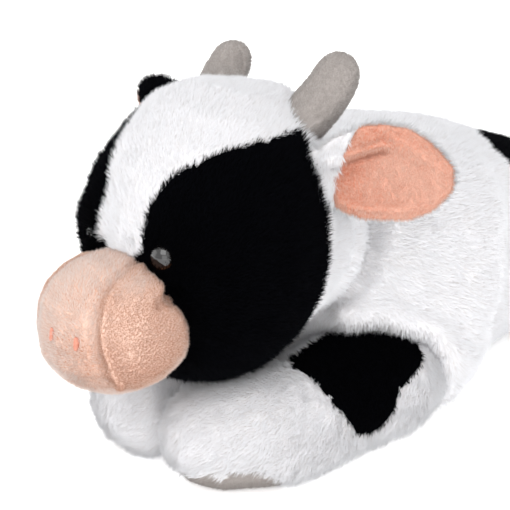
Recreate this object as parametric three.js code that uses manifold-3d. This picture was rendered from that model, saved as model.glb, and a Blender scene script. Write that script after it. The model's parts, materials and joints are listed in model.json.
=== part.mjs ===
// A plush cow lying on its belly, chin over its forelegs. Millimetres, +Z up.
// It faces -Y and its left side is +X. The origin is on the floor under the middle of the belly.
import * as THREE from 'three';
import { mergeVertices } from 'three/addons/utils/BufferGeometryUtils.js';
import Module from 'manifold-3d';

const wasm = await Module();
wasm.setup();

// Sizes that all sub-assemblies share
const coverThickness = 1.2;
const seamGap = 0.3;
const motionGap = 1.6;
const floorCut = 0.5;
const overrun = 60;

// Trunk
const trunkFront = 96;
const trunkRear = 172;
const neckHalfWidth = 54;
const chestHalfWidth = 73;
const shoulderHalfWidth = 84;
const flankHalfWidth = 58;
const waistHalfWidth = 48;
const loinHalfWidth = 46;
const hipHalfWidth = 50;
const rumpHalfWidth = 44;
const neckHeight = 138;
const chestHeight = 150;
const shoulderHeight = 149;
const flankHeight = 139;
const waistHeight = 123;
const loinHeight = 106;
const hipHeight = 90;
const rumpHeight = 70;
const trunkBluntnessShare = 0.6;
const trunkFullness = 2.6;
const trunkCap = 62;
const backPatchHalfWidth = 40;
const backPatchHalfLength = 50;
const backPatchBeforeRump = 76;
const backPatchOutlineShares = [
  [0.62, -1], [0.9, -0.78], [1.05, -0.42], [1.1, 0.08], [0.9, 0.64], [0.25, 1], [-0.6, 0.84],
  [-1.15, 0.32], [-1.25, -0.16], [-1, -0.56], [-0.65, -0.52], [-0.45, -0.16], [0, -0.36], [0.3, -0.72],
];

// Neck: a ball that turns in the trunk and that the head nods on
const neckRadius = 33;
const neckForward = 97;
const neckSideways = 6.5;
const neckHeightAboveFloor = 111;
const neckTurnDegrees = 6;
const nodDownDegrees = 3;
const nodUpDegrees = 6;

// Head, measured from its own centre
const headForwardOfNeck = 53;
const headAboveNeck = 16;
const headLookingRightDegrees = 5;
const headHalfWidth = 57;
const headHalfDepth = 58;
const headHalfLength = 71;
const headTiltDegrees = 15;
const faceSideways = -3;
const headFullness = 2.15;
const headBluntnessShare = 0.88;
const chinWidthShare = 0.97;
const crownWidthShare = 1.03;
const blazeHalfWidth = 16;
const blazeFoot = 16;
const blazeShoulderHeight = 57;
const blazeWideningShares = [[1, 0], [0.9, 0.52], [1.35, 0.76], [2.2, 0.93], [3.4, 1.01], [7, 0.98]];
const backSeamBehindCentre = 25;

// Muzzle
const muzzleHalfWidth = 37.5;
const muzzleHalfDepth = 35;
const muzzleHalfHeight = 31.5;
const muzzleForward = 67;
const muzzleDrop = 27;
const muzzleFullness = 2.25;
const muzzleBluntnessShare = 0.86;
const nostrilHalfWidth = 1.9;
const nostrilHalfHeight = 3.6;
const nostrilSpacing = 17.5;
const nostrilSideways = 5;
const nostrilRise = 2.5;
const nostrilThickness = 0.9;

// Eyes
const eyeRadius = 6.2;
const eyeBulge = 3.6;
const eyeSpacing = 51;
const eyeRise = 7;
const eyeForward = 53;
const stemRadius = 1.9;
const stemLength = 8;
const washerRadius = 6;
const washerThickness = 1.2;

// Horns
const hornRootRadius = 12.5;
const hornTipRadius = 9;
const hornFlatteningShare = 0.92;
const hornSpacing = 54;
const hornBack = 34;
const hornRise = 52;
const hornReachOut = { left: 7, right: 12 };
const hornReachBack = { left: 24, right: 26 };
const hornReachUp = { left: 30, right: 20 };
const hornBend = { left: 1.5, right: 5 };

// Ears
const earLength = 62;
const earHalfWidth = 25;
const earRootHalfWidth = 9;
const earTipHalfWidth = 5;
const earThickness = 2.6;
const earCup = 7;
const earFlapDegrees = 12;
const earRootShare = 0.25;
const leafWidthShares = [0, 0.8, 1, 0.98, 0.74, 0];
const liningThickness = 1.2;
const liningRim = 4.5;
const earBeadRadius = 4.4;
const earBeadLength = 15;
const earRootSideways = 48;
const earRootBack = 31;
const earRootRise = 33;
const earSweepDegrees = { left: 36, right: 44 };
const earLiftDegrees = { left: 2, right: 7 };
const earFaceTiltDegrees = { left: 14, right: -62 };

// Forelegs, measured from the shoulder pivot
const shoulderSpacing = 82;
const shoulderForward = 62;
const forelegRadius = 32;
const forelegUpperRadius = 28;
const forelegLowerRadius = 27;
const forelegToeRadius = 25;
const forelegReach = { left: 114, right: 112 };
const forelegCurlIn = { left: 45, right: -4 };
const forelegCurlShares = [0, 0.06, 0.2, 0.56, 1];
const forelegReachShares = [0, 0.34, 0.66, 0.87, 1];
const forelegPatchHalfLength = 34;
const forelegPatchHalfHeight = 26;
const forelegPatchForward = 32;
const forelegPatchRise = 12;
const forelegPatchInside = 12;
const forelegPatchOutlineShares = [
  [-0.8, 0.95], [0.05, 1.1], [0.88, 0.95], [0.94, 0.2], [0.76, 0], [0.35, -0.23], [0.12, -0.77],
  [-0.24, -0.96], [-0.5, -0.85], [-0.65, -0.58], [-0.94, 0.04], [-0.97, 0.62],
];
const legOutDegrees = 12;
const legInDegrees = 1;
const hindlegSwingDegrees = 6;

// Hind legs, measured from the hip pivot
const hipSpacing = 82;
const hipBeforeRump = 66;
const hindlegRadius = 30;
const hindlegUpperRadius = 28;
const hindlegLowerRadius = 26;
const hindlegToeRadius = 23;
const hindlegReachBack = 62;
const hindlegReachOut = 66;

// Soles
const soleHalfLength = 27;
const soleHalfWidth = 17;
const foreSoleSetBack = 10;
const foreSoleTiltDegrees = 10;
const foreSoleRollDegrees = { left: 30, right: 8 };
const hindSoleTiltDegrees = 78;

// Tail
const tailRootInRump = 6;
const tailRootHeight = 52;
const tailRootRadius = 7;
const tailRadius = 5;
const tailReachBack = 27;
const tailDrop = 28;
const tailLevelShares = [3 / 4, 1 / 4];
const tailSwingDegrees = 20;
const tuftRadius = 9;
const tuftLength = 32;
const tuftOverlap = 10;

// Facets
const trunkMiddleRings = 4;
const trunkSides = 16;
const headCapRings = 5;
const headSides = 16;
const muzzleCapRings = 4;
const muzzleSides = 14;
const limbCapRings = 3;
const limbMiddleRings = 4;
const limbSides = 12;
const sweptSides = 12;
const smallCapRings = 3;
const smallSides = 8;
const ballDetail = 3;
const discSides = 10;
const outlineSteps = 2;
const leafRows = 6;
const leafColumns = 4;
const rootLeafRows = 2;
const capTurnSteps = 4;
const cornersPerFace = 3;

const up = new THREE.Vector3(0, 0, 1);
const neckPivot = new THREE.Vector3(neckSideways, -neckForward, neckHeightAboveFloor);
const headOffset = new THREE.Vector3(0, -headForwardOfNeck, headAboveNeck);

const white = new THREE.MeshStandardMaterial({ color: '#f0eef0', roughness: 0.95, metalness: 0 });
const black = new THREE.MeshStandardMaterial({ color: '#08090d', roughness: 0.95, metalness: 0 });
const peach = new THREE.MeshStandardMaterial({ color: '#ebc9b8', roughness: 0.9, metalness: 0 });
const apricot = new THREE.MeshStandardMaterial({ color: '#efb89c', roughness: 0.9, metalness: 0 });
const grey = new THREE.MeshStandardMaterial({ color: '#aca5a0', roughness: 0.9, metalness: 0 });
const coral = new THREE.MeshStandardMaterial({ color: '#f0a088', roughness: 0.7, metalness: 0 });
const fibre = new THREE.MeshStandardMaterial({ color: '#f6f5f2', roughness: 1, metalness: 0 });
const eyeBrown = new THREE.MeshStandardMaterial({ color: '#241208', roughness: 0.12, metalness: 0 });
const plastic = new THREE.MeshStandardMaterial({ color: '#d8d8d4', roughness: 0.5, metalness: 0 });

// Turns a geometry into a solid, with its shared vertices merged.
function solidOf(geometry) {
  const bare = geometry.clone();
  bare.deleteAttribute('normal');
  bare.deleteAttribute('uv');
  const merged = mergeVertices(bare);
  return new wasm.Manifold(new wasm.Mesh({
    numProp: 3,
    vertProperties: Float32Array.from(merged.attributes.position.array),
    triVerts: Uint32Array.from(merged.index.array),
  }));
}

function join(first, ...others) {
  return others.reduce((whole, other) => whole.add(other), first);
}

function cut(whole, ...cutters) {
  return cutters.reduce((rest, cutter) => rest.subtract(cutter), whole);
}

// Makes the named mesh of a solid.
function piece(name, solid, material) {
  const { vertProperties, triVerts } = solid.getMesh();
  const geometry = new THREE.BufferGeometry();
  geometry.setAttribute('position', new THREE.BufferAttribute(vertProperties, 3));
  geometry.setIndex(new THREE.BufferAttribute(triVerts, 1));
  geometry.computeVertexNormals();
  const mesh = new THREE.Mesh(geometry, material);
  mesh.name = name;
  return mesh;
}

function sideWord(side) {
  return side > 0 ? 'left' : 'right';
}

function degrees(angle) {
  return THREE.MathUtils.degToRad(angle);
}

// Reads a row of evenly spaced sizes at a share of its length, passing smoothly through each.
function sizeAt(sizes, share) {
  const row = new THREE.CatmullRomCurve3(sizes.map((size) => new THREE.Vector3(size, 0, 0)));
  return row.getPoint(THREE.MathUtils.clamp(share, 0, 1)).x;
}

function signedPower(value, power) {
  return Math.sign(value) * Math.abs(value) ** power;
}

// A point of the spine at a distance along it, running straight on past its ends.
function spinePoint(spine, distance) {
  const inside = THREE.MathUtils.clamp(distance / spine.getLength(), 0, 1);
  const past = distance - inside * spine.getLength();
  return spine.getPointAt(inside).addScaledVector(spine.getTangentAt(inside), past);
}

// Where the rings of a form lie along its spine, and how far each has closed in at the ends.
function stations({ from, to, caps, capRings, middleRings, bluntness }) {
  const made = [];
  const [firstCap, lastCap] = caps;
  for (let ring = 1; ring <= capRings[0]; ring += 1) {
    const angle = (Math.PI / 2) * (ring / capRings[0]);
    const distance = from + firstCap * (1 - Math.cos(angle));
    made.push({ distance, closing: Math.sin(angle) ** bluntness });
  }
  const [start, end] = [from + firstCap, to - lastCap];
  for (let ring = 1; ring <= middleRings; ring += 1) {
    made.push({ distance: start + ((end - start) * ring) / (middleRings + 1), closing: 1 });
  }
  for (let ring = capRings[1]; ring >= 1; ring -= 1) {
    const angle = (Math.PI / 2) * (ring / capRings[1]);
    const distance = to - lastCap * (1 - Math.cos(angle));
    if (distance > made.at(-1)?.distance + seamGap / 2 || made.length === 0) {
      made.push({ distance, closing: Math.sin(angle) ** bluntness });
    }
  }
  return made;
}

// Closes rings of points into one skin, with a pole at each end.
function skinOf(rings, firstPole, lastPole) {
  const sides = rings[0].length;
  const points = [firstPole, ...rings.flat(), lastPole];
  const last = points.length - 1;
  const faces = [];
  for (let side = 0; side < sides; side += 1) {
    const next = (side + 1) % sides;
    faces.push(0, 1 + side, 1 + next);
    faces.push(last, last - sides + next, last - sides + side);
    for (let ring = 0; ring < rings.length - 1; ring += 1) {
      const here = 1 + ring * sides;
      const there = here + sides;
      faces.push(here + side, there + side, there + next);
      faces.push(here + side, there + next, here + next);
    }
  }
  const geometry = new THREE.BufferGeometry().setFromPoints(points);
  geometry.setIndex(faces);
  return facingOut(geometry);
}

// Turns the faces round where they enclose a negative volume.
function facingOut(geometry) {
  const places = geometry.attributes.position;
  const index = geometry.index.array;
  const [a, b, c] = [new THREE.Vector3(), new THREE.Vector3(), new THREE.Vector3()];
  let volume = 0;
  for (let at = 0; at < index.length; at += cornersPerFace) {
    a.fromBufferAttribute(places, index[at]);
    b.fromBufferAttribute(places, index[at + 1]);
    c.fromBufferAttribute(places, index[at + 2]);
    volume += a.dot(b.cross(c));
  }
  if (volume < 0) {
    geometry.setIndex(Array.from(index).reverse());
  }
  return geometry;
}

// A stuffed form: oval rings that swell and taper along a spine and close in at both ends.
// It starts a reach before the spine. A positive inset gives the form under a cover.
function stuffed(form) {
  const { spine, widths, heights, caps, capRings, middleRings = 0, sides } = form;
  const { upright = false, fullness = 2, bluntness = 1, inset = 0, reach = 0 } = form;
  const length = spine.getLength();
  const from = inset - reach;
  const to = length - inset;
  const shrunk = caps.map((cap) => Math.max(cap - inset, 0));
  const made = stations({ from, to, caps: shrunk, capRings, middleRings, bluntness }).map((station) => {
    const share = THREE.MathUtils.clamp(station.distance / length, 0, 1);
    const forward = spine.getTangentAt(share);
    const across = upright ? new THREE.Vector3(1, 0, 0) : forward.clone().cross(up).normalize();
    return ovalRing({
      centre: spinePoint(spine, station.distance),
      across,
      rise: upright ? up : across.clone().cross(forward).normalize(),
      width: station.closing * (sizeAt(widths, share) - inset),
      height: station.closing * (sizeAt(heights, share) - inset),
      sides,
      fullness,
    });
  });
  return skinOf(made, spinePoint(spine, from), spinePoint(spine, to));
}

function ovalRing({ centre, across, rise, width, height, sides, fullness }) {
  const ring = [];
  for (let side = 0; side < sides; side += 1) {
    const turn = (2 * Math.PI * side) / sides;
    const sideways = width * signedPower(Math.cos(turn), 2 / fullness);
    const upwards = height * signedPower(Math.sin(turn), 2 / fullness);
    ring.push(centre.clone().addScaledVector(across, sideways).addScaledVector(rise, upwards));
  }
  return ring;
}

// A ball of nearly equal facets.
function ball(radius, centre) {
  const sphere = new THREE.IcosahedronGeometry(radius, ballDetail);
  return solidOf(sphere.translate(centre.x, centre.y, centre.z));
}

// How near the facets of a ball come to its centre, as a share of its radius.
function ballFacetShare() {
  const places = new THREE.IcosahedronGeometry(1, ballDetail).attributes.position;
  let nearest = 1;
  for (let at = 0; at < places.count; at += cornersPerFace) {
    const corners = Array.from({ length: cornersPerFace }, (_, corner) => (
      new THREE.Vector3().fromBufferAttribute(places, at + corner)
    ));
    nearest = Math.min(nearest, Math.abs(new THREE.Plane().setFromCoplanarPoints(...corners).constant));
  }
  return nearest;
}

// The socket of a ball: its facets stay clear of the ball however it turns.
function socket(radius, centre) {
  return ball((radius + seamGap) / ballFacetShare(), centre);
}

// Everything below the floor.
function belowFloor(floorHeight) {
  const side = 2 * (trunkFront + trunkRear + overrun);
  const slab = new THREE.BoxGeometry(side, side, overrun);
  return solidOf(slab.translate(0, 0, floorHeight - overrun / 2));
}

// An upright prism on a smooth closed outline of shares, grown by a gap all round.
function blobPrism({ shares, halfWidth, halfLength, grow, depth }) {
  const outline = shares.map(([x, y]) => new THREE.Vector2(x * halfWidth, y * halfLength));
  const closed = new THREE.SplineCurve([outline.at(-1), ...outline, outline[0], outline[1]]);
  const steps = shares.length * outlineSteps;
  const first = 1 / (outline.length + 2);
  const points = Array.from({ length: steps }, (_, step) => {
    const share = first + ((1 - 2 * first) * step) / steps;
    const ahead = closed.getTangent(share);
    const outward = new THREE.Vector2(ahead.y, -ahead.x).multiplyScalar(grow * turning(shares));
    return closed.getPoint(share).add(outward);
  });
  return new THREE.ExtrudeGeometry(new THREE.Shape(points), { depth, bevelEnabled: false });
}

// 1 where an outline runs anticlockwise and -1 where it runs clockwise.
function turning(shares) {
  const doubledArea = shares.reduce((sum, [x, y], at) => {
    const [nextX, nextY] = shares[(at + 1) % shares.length];
    return sum + x * nextY - nextX * y;
  }, 0);
  return Math.sign(doubledArea);
}

// The trunk's form, tall at the shoulders and low at the rump, flat on the floor.
function trunkForm(inset) {
  const heights = [
    neckHeight, chestHeight, shoulderHeight, flankHeight, waistHeight, loinHeight, hipHeight, rumpHeight,
  ];
  const halfHeights = heights.map((height) => (height + floorCut) / 2);
  const step = (trunkFront + trunkRear) / (heights.length - 1);
  const middles = halfHeights.map((half, at) => (
    new THREE.Vector3(0, at * step - trunkFront, half - floorCut)
  ));
  return stuffed({
    spine: new THREE.CatmullRomCurve3(middles),
    widths: [
      neckHalfWidth, chestHalfWidth, shoulderHalfWidth, flankHalfWidth,
      waistHalfWidth, loinHalfWidth, hipHalfWidth, rumpHalfWidth,
    ],
    heights: halfHeights,
    upright: true,
    caps: [trunkCap, trunkCap],
    capRings: [limbCapRings, limbCapRings],
    middleRings: trunkMiddleRings,
    sides: trunkSides,
    fullness: trunkFullness,
    bluntness: trunkBluntnessShare,
    inset,
  });
}

// The head's egg, leaning back at the crown, about its own centre.
function headForm(inset) {
  const lean = degrees(headTiltDegrees);
  const end = new THREE.Vector3(0, headHalfLength * Math.sin(lean), headHalfLength * Math.cos(lean));
  return stuffed({
    spine: new THREE.LineCurve3(end.clone().negate(), end),
    widths: [headHalfWidth * chinWidthShare, headHalfWidth, headHalfWidth * crownWidthShare],
    heights: [headHalfDepth, headHalfDepth, headHalfDepth],
    caps: [headHalfLength, headHalfLength],
    capRings: [headCapRings, headCapRings],
    sides: headSides,
    fullness: headFullness,
    bluntness: headBluntnessShare,
    inset,
  });
}

// The muzzle's loaf, wide from side to side, in the head's frame.
function muzzleForm(inset) {
  const end = new THREE.Vector3(muzzleHalfWidth, -muzzleForward, -muzzleDrop);
  return stuffed({
    spine: new THREE.LineCurve3(end.clone().setX(-muzzleHalfWidth), end),
    widths: [muzzleHalfDepth, muzzleHalfDepth],
    heights: [muzzleHalfHeight, muzzleHalfHeight],
    caps: [muzzleHalfWidth, muzzleHalfWidth],
    capRings: [muzzleCapRings, muzzleCapRings],
    sides: muzzleSides,
    fullness: muzzleFullness,
    bluntness: muzzleBluntnessShare,
    inset,
  });
}

// The upright slab, seen from the front, that holds the blaze and the crown above it.
function blazePrism(grow) {
  const shape = new THREE.Shape();
  const side = blazeWideningShares.map(([across, rise]) => (
    [blazeHalfWidth * across + grow, blazeShoulderHeight * rise]
  ));
  const top = headHalfLength + overrun;
  shape.moveTo(-side[0][0], -blazeFoot - grow);
  shape.lineTo(side[0][0], -blazeFoot - grow);
  side.forEach(([across, rise]) => shape.lineTo(across, rise - grow));
  shape.lineTo(side.at(-1)[0], top);
  shape.lineTo(-side.at(-1)[0], top);
  side.reverse().forEach(([across, rise]) => shape.lineTo(-across, rise - grow));
  const depth = 2 * (headHalfDepth + overrun);
  const slab = new THREE.ExtrudeGeometry(shape, { depth, bevelEnabled: false });
  return solidOf(slab.rotateX(Math.PI / 2).translate(faceSideways, depth / 2, 0));
}

// The space that holds the white panel: the blaze, the crown and the back of the head behind the ears.
function whiteSpace(grow) {
  const reach = headHalfLength + overrun;
  const behind = new THREE.BoxGeometry(2 * reach, reach, 2 * reach);
  return join(blazePrism(grow), solidOf(behind.translate(0, backSeamBehindCentre - grow + reach / 2, 0)));
}

// Places a form that points along +Z on the head, pointing the way that the head's skin faces.
function onHead(geometry, place, facing) {
  const turn = new THREE.Quaternion().setFromUnitVectors(new THREE.Vector3(0, 0, 1), facing);
  return geometry.applyQuaternion(turn).translate(place.x, place.y, place.z);
}

// The way that the head's skin faces at a place on it.
function headFacing(place) {
  const lean = degrees(headTiltDegrees);
  const upright = place.clone().applyAxisAngle(new THREE.Vector3(1, 0, 0), lean);
  upright.x /= headHalfWidth ** 2;
  upright.y /= headHalfDepth ** 2;
  upright.z /= headHalfLength ** 2;
  return upright.applyAxisAngle(new THREE.Vector3(1, 0, 0), -lean).normalize();
}

// Moves a place straight in or out from the head's centre until it lies on the head's skin.
function ontoHead(place) {
  const ray = new THREE.Raycaster(new THREE.Vector3(), place.clone().normalize());
  const skin = new THREE.Mesh(headForm(0), new THREE.MeshBasicMaterial({ side: THREE.DoubleSide }));
  return ray.intersectObject(skin)[0].point;
}

function eyePlace(side) {
  return ontoHead(new THREE.Vector3((side * eyeSpacing) / 2 + faceSideways, -eyeForward, eyeRise));
}

function hornSpine(side) {
  const root = ontoHead(new THREE.Vector3((side * hornSpacing) / 2, hornBack, hornRise));
  const inside = root.clone().addScaledVector(headFacing(root), -hornRootRadius);
  const word = sideWord(side);
  const reach = new THREE.Vector3(side * hornReachOut[word], hornReachBack[word], hornReachUp[word]);
  const tip = root.clone().add(reach);
  const bend = new THREE.Vector3(side * hornBend[word], 0, -hornBend[word]);
  const middle = root.clone().lerp(tip, 1 / 2).add(bend);
  return new THREE.CatmullRomCurve3([inside, root, middle, tip]);
}

function horn(side, headSpace) {
  const radii = [hornRootRadius, hornRootRadius, (hornRootRadius + hornTipRadius) / 2, hornTipRadius];
  const shape = stuffed({
    spine: hornSpine(side),
    widths: radii,
    heights: radii.map((radius) => radius * hornFlatteningShare),
    caps: [seamGap, hornTipRadius],
    capRings: [1, smallCapRings],
    middleRings: smallCapRings + 1,
    sides: smallSides,
  });
  return cut(solidOf(shape), headSpace);
}

// The safety eye: a glossy dome on the skin, on a stem that goes through the cover.
function eye(side, headSpace) {
  const place = eyePlace(side);
  const outline = [new THREE.Vector2(0, -eyeBulge), new THREE.Vector2(eyeRadius, -eyeBulge)];
  for (let step = 0; step <= limbCapRings; step += 1) {
    const angle = (Math.PI * step) / (2 * limbCapRings);
    outline.push(new THREE.Vector2(eyeRadius * Math.cos(angle), seamGap + eyeBulge * Math.sin(angle)));
  }
  outline[outline.length - 1].x = 0;
  const lathe = new THREE.LatheGeometry(outline, discSides).rotateX(Math.PI / 2);
  const dome = solidOf(facingOut(mergeVertices(stripped(onHead(lathe, place, headFacing(place))))));
  return join(cut(dome, headSpace), discUnder(place, stemRadius, -eyeBulge / 2, stemLength));
}

function stripped(geometry) {
  geometry.deleteAttribute('normal');
  geometry.deleteAttribute('uv');
  return geometry;
}

// A round cutter or disc square to the head's skin, from one depth under it to another.
function discUnder(place, radius, from, to) {
  const disc = new THREE.CylinderGeometry(radius, radius, to - from, discSides).rotateX(Math.PI / 2);
  return solidOf(onHead(disc.translate(0, 0, -(from + to) / 2), place, headFacing(place)));
}

function washerTop() {
  return coverThickness + 2 * seamGap;
}

// The locking washer on the eye's stem, behind the cover.
function eyeWasher(side, underCover) {
  const place = eyePlace(side);
  const disc = discUnder(place, washerRadius, -washerThickness, washerTop() + washerThickness);
  return cut(disc.intersect(underCover), discUnder(place, stemRadius + seamGap, -overrun, stemLength));
}

// The pocket in the filling that the stem and the washer sit in.
function eyePocket(side) {
  const floor = Math.max(stemLength, washerTop() + washerThickness) + seamGap;
  return discUnder(eyePlace(side), washerRadius + seamGap, 0, floor);
}

function eyeHole(side) {
  return discUnder(eyePlace(side), stemRadius + seamGap, -seamGap, stemLength + seamGap);
}

// A raised oval of embroidery on the front of the muzzle.
function nostril(side, muzzleSpace) {
  const pad = new THREE.SphereGeometry(1, smallSides, 2 * smallCapRings);
  const sideways = nostrilSideways + (side * nostrilSpacing) / 2;
  const depth = muzzleHalfDepth * muzzleDepthShare(sideways);
  pad.scale(nostrilHalfWidth, 2 * nostrilThickness, nostrilHalfHeight);
  pad.translate(sideways, -muzzleForward - depth, nostrilRise - muzzleDrop);
  return cut(solidOf(pad), muzzleSpace);
}

// How far forward the muzzle's skin lies at a distance to one side, as a share of its half depth.
function muzzleDepthShare(sideways) {
  const sine = Math.sqrt(1 - (sideways / muzzleHalfWidth) ** 2);
  return sine ** muzzleBluntnessShare;
}

// The direction that an ear points in, from its root outwards.
function earDirection(side) {
  const lift = degrees(earLiftDegrees[sideWord(side)]);
  const sweep = degrees(earSweepDegrees[sideWord(side)]);
  const level = Math.cos(lift);
  return new THREE.Vector3(side * Math.cos(sweep) * level, Math.sin(sweep) * level, Math.sin(lift));
}

// The frame of an ear: out along it, across it, and the way that its lining faces.
function earFrame(side) {
  const along = earDirection(side);
  const level = new THREE.Vector3(-along.y * side, -Math.abs(along.x), 0).normalize();
  level.x *= -1;
  const tilt = degrees(earFaceTiltDegrees[sideWord(side)]);
  const face = level.multiplyScalar(Math.cos(tilt)).addScaledVector(up, Math.sin(tilt));
  face.addScaledVector(along, -face.dot(along)).normalize();
  const root = ontoHead(new THREE.Vector3(side * earRootSideways, earRootBack, earRootRise));
  return new THREE.Matrix4().makeBasis(along, face.clone().cross(along), face).setPosition(root);
}

// A cupped leaf of fabric lying along +X, its width along Y and its face towards +Z.
function leaf({ from, to, rim, thickness, offset, rows = leafRows }) {
  const outline = leafWidthShares.map((share) => earHalfWidth * share);
  outline[0] = earRootHalfWidth + rim;
  outline[outline.length - 1] = earTipHalfWidth + rim;
  const columns = leafColumns;
  const rings = [];
  for (let row = 0; row <= rows; row += 1) {
    const share = from + ((to - from) * row) / rows;
    const half = sizeAt(outline, share) - rim;
    const cup = earCup * Math.sin(Math.PI * share) * (1 - share / 2);
    const edge = (column) => 1 - (2 * column) / columns;
    const point = (across, side) => {
      const height = cup * across ** 2 + offset + (side * thickness) / 2;
      return new THREE.Vector3(earLength * share, half * across, height);
    };
    const upper = Array.from({ length: columns + 1 }, (_, column) => point(edge(column), 1));
    const lower = Array.from({ length: columns + 1 }, (_, column) => point(-edge(column), -1));
    rings.push([...upper, ...lower]);
  }
  const middle = (ring) => ring[columns / 2].clone().lerp(ring[columns + 1 + columns / 2], 1 / 2);
  return skinOf(rings, middle(rings[0]), middle(rings.at(-1)));
}

function earBead(radius) {
  return new THREE.CapsuleGeometry(radius, earBeadLength, smallCapRings, discSides);
}

function earOuter(side) {
  const sheet = leaf({ from: 0, to: 1, rim: 0, thickness: earThickness, offset: 0 });
  const frame = earFrame(side);
  const bead = solidOf(earBead(earBeadRadius).applyMatrix4(frame));
  return join(solidOf(sheet.applyMatrix4(frame)), bead);
}

function earLining(side) {
  const offset = (earThickness + liningThickness) / 2 + seamGap;
  const start = (earBeadRadius + 2 * seamGap) / earLength;
  const end = 1 - liningRim / earLength;
  const sheet = leaf({ from: start, to: end, rim: liningRim, thickness: liningThickness, offset });
  return cut(solidOf(sheet.applyMatrix4(earFrame(side))), earBeadSpace(side));
}

// The groove that an ear's bead turns in.
function earBeadSpace(side) {
  const facetShare = Math.cos(Math.PI / discSides) * Math.cos(Math.PI / (capTurnSteps * smallCapRings));
  return solidOf(earBead((earBeadRadius + seamGap) / facetShare).applyMatrix4(earFrame(side)));
}

// The space that the root of an ear needs, whichever way the ear flaps.
function earRootSpace(side) {
  const swept = [-earFlapDegrees, 0, earFlapDegrees].map((flap) => {
    const thickness = earThickness + 2 * (seamGap + liningThickness + motionGap);
    const sheet = leaf({
      from: 0, to: earRootShare, rim: -motionGap, thickness, offset: 0, rows: rootLeafRows,
    });
    return solidOf(sheet.rotateY(degrees(flap)).applyMatrix4(earFrame(side)));
  });
  return join(earBeadSpace(side), ...swept);
}

function headPieces() {
  const skin = solidOf(headForm(0));
  const lining = solidOf(headForm(coverThickness));
  const muzzle = solidOf(muzzleForm(0));
  const muzzleSpace = solidOf(muzzleForm(-seamGap));
  const muzzleInside = solidOf(muzzleForm(coverThickness));
  const headSpace = solidOf(headForm(-seamGap));
  const bite = socket(neckRadius, headOffset.clone().negate());
  const sides = [1, -1];
  const grooves = sides.map((side) => earRootSpace(side));
  const holes = sides.map((side) => eyeHole(side));
  const underCover = solidOf(headForm(coverThickness + seamGap));
  const shell = cut(skin, lining, muzzleSpace, bite, ...grooves, ...holes);
  const halves = sides.map((side) => {
    const reach = headHalfLength + overrun;
    const box = new THREE.BoxGeometry(reach, 2 * reach, 2 * reach);
    return solidOf(box.translate(side * (reach + seamGap) / 2, 0, 0));
  });
  const faces = cut(shell, whiteSpace(seamGap));
  const filling = join(underCover, solidOf(muzzleForm(coverThickness + seamGap)));
  const head = new THREE.Group();
  head.add(
    piece('crown_panel', shell.intersect(whiteSpace(0)), white),
    piece('face_patch_left', faces.intersect(halves[0]), black),
    piece('face_patch_right', faces.intersect(halves[1]), black),
    piece('muzzle_cover', cut(muzzle, muzzleInside, skin), peach),
    piece('head_filling', cut(filling, bite, ...grooves, ...sides.map(eyePocket)), fibre),
  );
  sides.forEach((side) => {
    const word = sideWord(side);
    const cover = side > 0 ? white : black;
    head.add(
      piece(`eye_${word}`, eye(side, headSpace), eyeBrown),
      piece(`eye_washer_${word}`, eyeWasher(side, underCover), plastic),
      piece(`nostril_${word}`, nostril(side, muzzleSpace), coral),
      piece(`horn_${word}`, horn(side, headSpace), grey),
      piece(`ear_outer_${word}`, earOuter(side), cover),
      piece(`ear_lining_${word}`, earLining(side), apricot),
    );
  });
  head.position.copy(headOffset);
  const turned = new THREE.Group();
  turned.add(head);
  turned.position.copy(neckPivot);
  turned.rotation.z = -degrees(headLookingRightDegrees);
  return turned;
}

// A leg's sizes and its spine, from its pivot out to its toes.
function forelegShape(side) {
  const [reach, curl] = [forelegReach[sideWord(side)], forelegCurlIn[sideWord(side)]];
  const drop = forelegRadius - forelegToeRadius;
  const points = forelegReachShares.map((share, at) => (
    new THREE.Vector3(-side * curl * forelegCurlShares[at], -reach * share, -drop * share)
  ));
  const radii = [forelegRadius, forelegUpperRadius, forelegLowerRadius, forelegToeRadius];
  return { spine: new THREE.CatmullRomCurve3(points), radii, floorUnder: forelegRadius - floorCut };
}

function hindlegShape(side) {
  const end = new THREE.Vector3(side * hindlegReachOut, hindlegReachBack, hindlegToeRadius - hindlegRadius);
  const points = [0, 1 / 3, 2 / 3, 1].map((share) => end.clone().multiplyScalar(share));
  const radii = [hindlegRadius, hindlegUpperRadius, hindlegLowerRadius, hindlegToeRadius];
  return { spine: new THREE.CatmullRomCurve3(points), radii, floorUnder: hindlegRadius - floorCut };
}

// A leg's form: half a ball round its pivot, then the leg out to its toes.
function legForm({ spine, radii }, inset) {
  return solidOf(stuffed({
    spine,
    widths: radii,
    heights: radii,
    caps: [radii[0], radii.at(-1)],
    capRings: [limbCapRings, limbCapRings],
    middleRings: limbMiddleRings,
    sides: limbSides,
    reach: radii[0],
    inset,
  }));
}

// The oval prism that parts the sole from the rest of the leg's cover.
function solePrism({ spine, radii }, side, { setBack, tilt, roll }, grow) {
  const heading = spine.getTangentAt(1).setZ(0).normalize();
  const oval = new THREE.CylinderGeometry(1, 1, overrun, discSides).rotateX(Math.PI / 2);
  oval.scale(soleHalfWidth + grow, soleHalfLength + grow, 1).translate(0, 0, -overrun / 2);
  oval.rotateX(-degrees(tilt)).rotateY(-side * degrees(roll)).rotateZ(Math.atan2(heading.x, -heading.y));
  const place = spinePoint(spine, spine.getLength() - radii.at(-1) - setBack);
  return solidOf(oval.translate(place.x, place.y, place.z));
}

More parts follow.
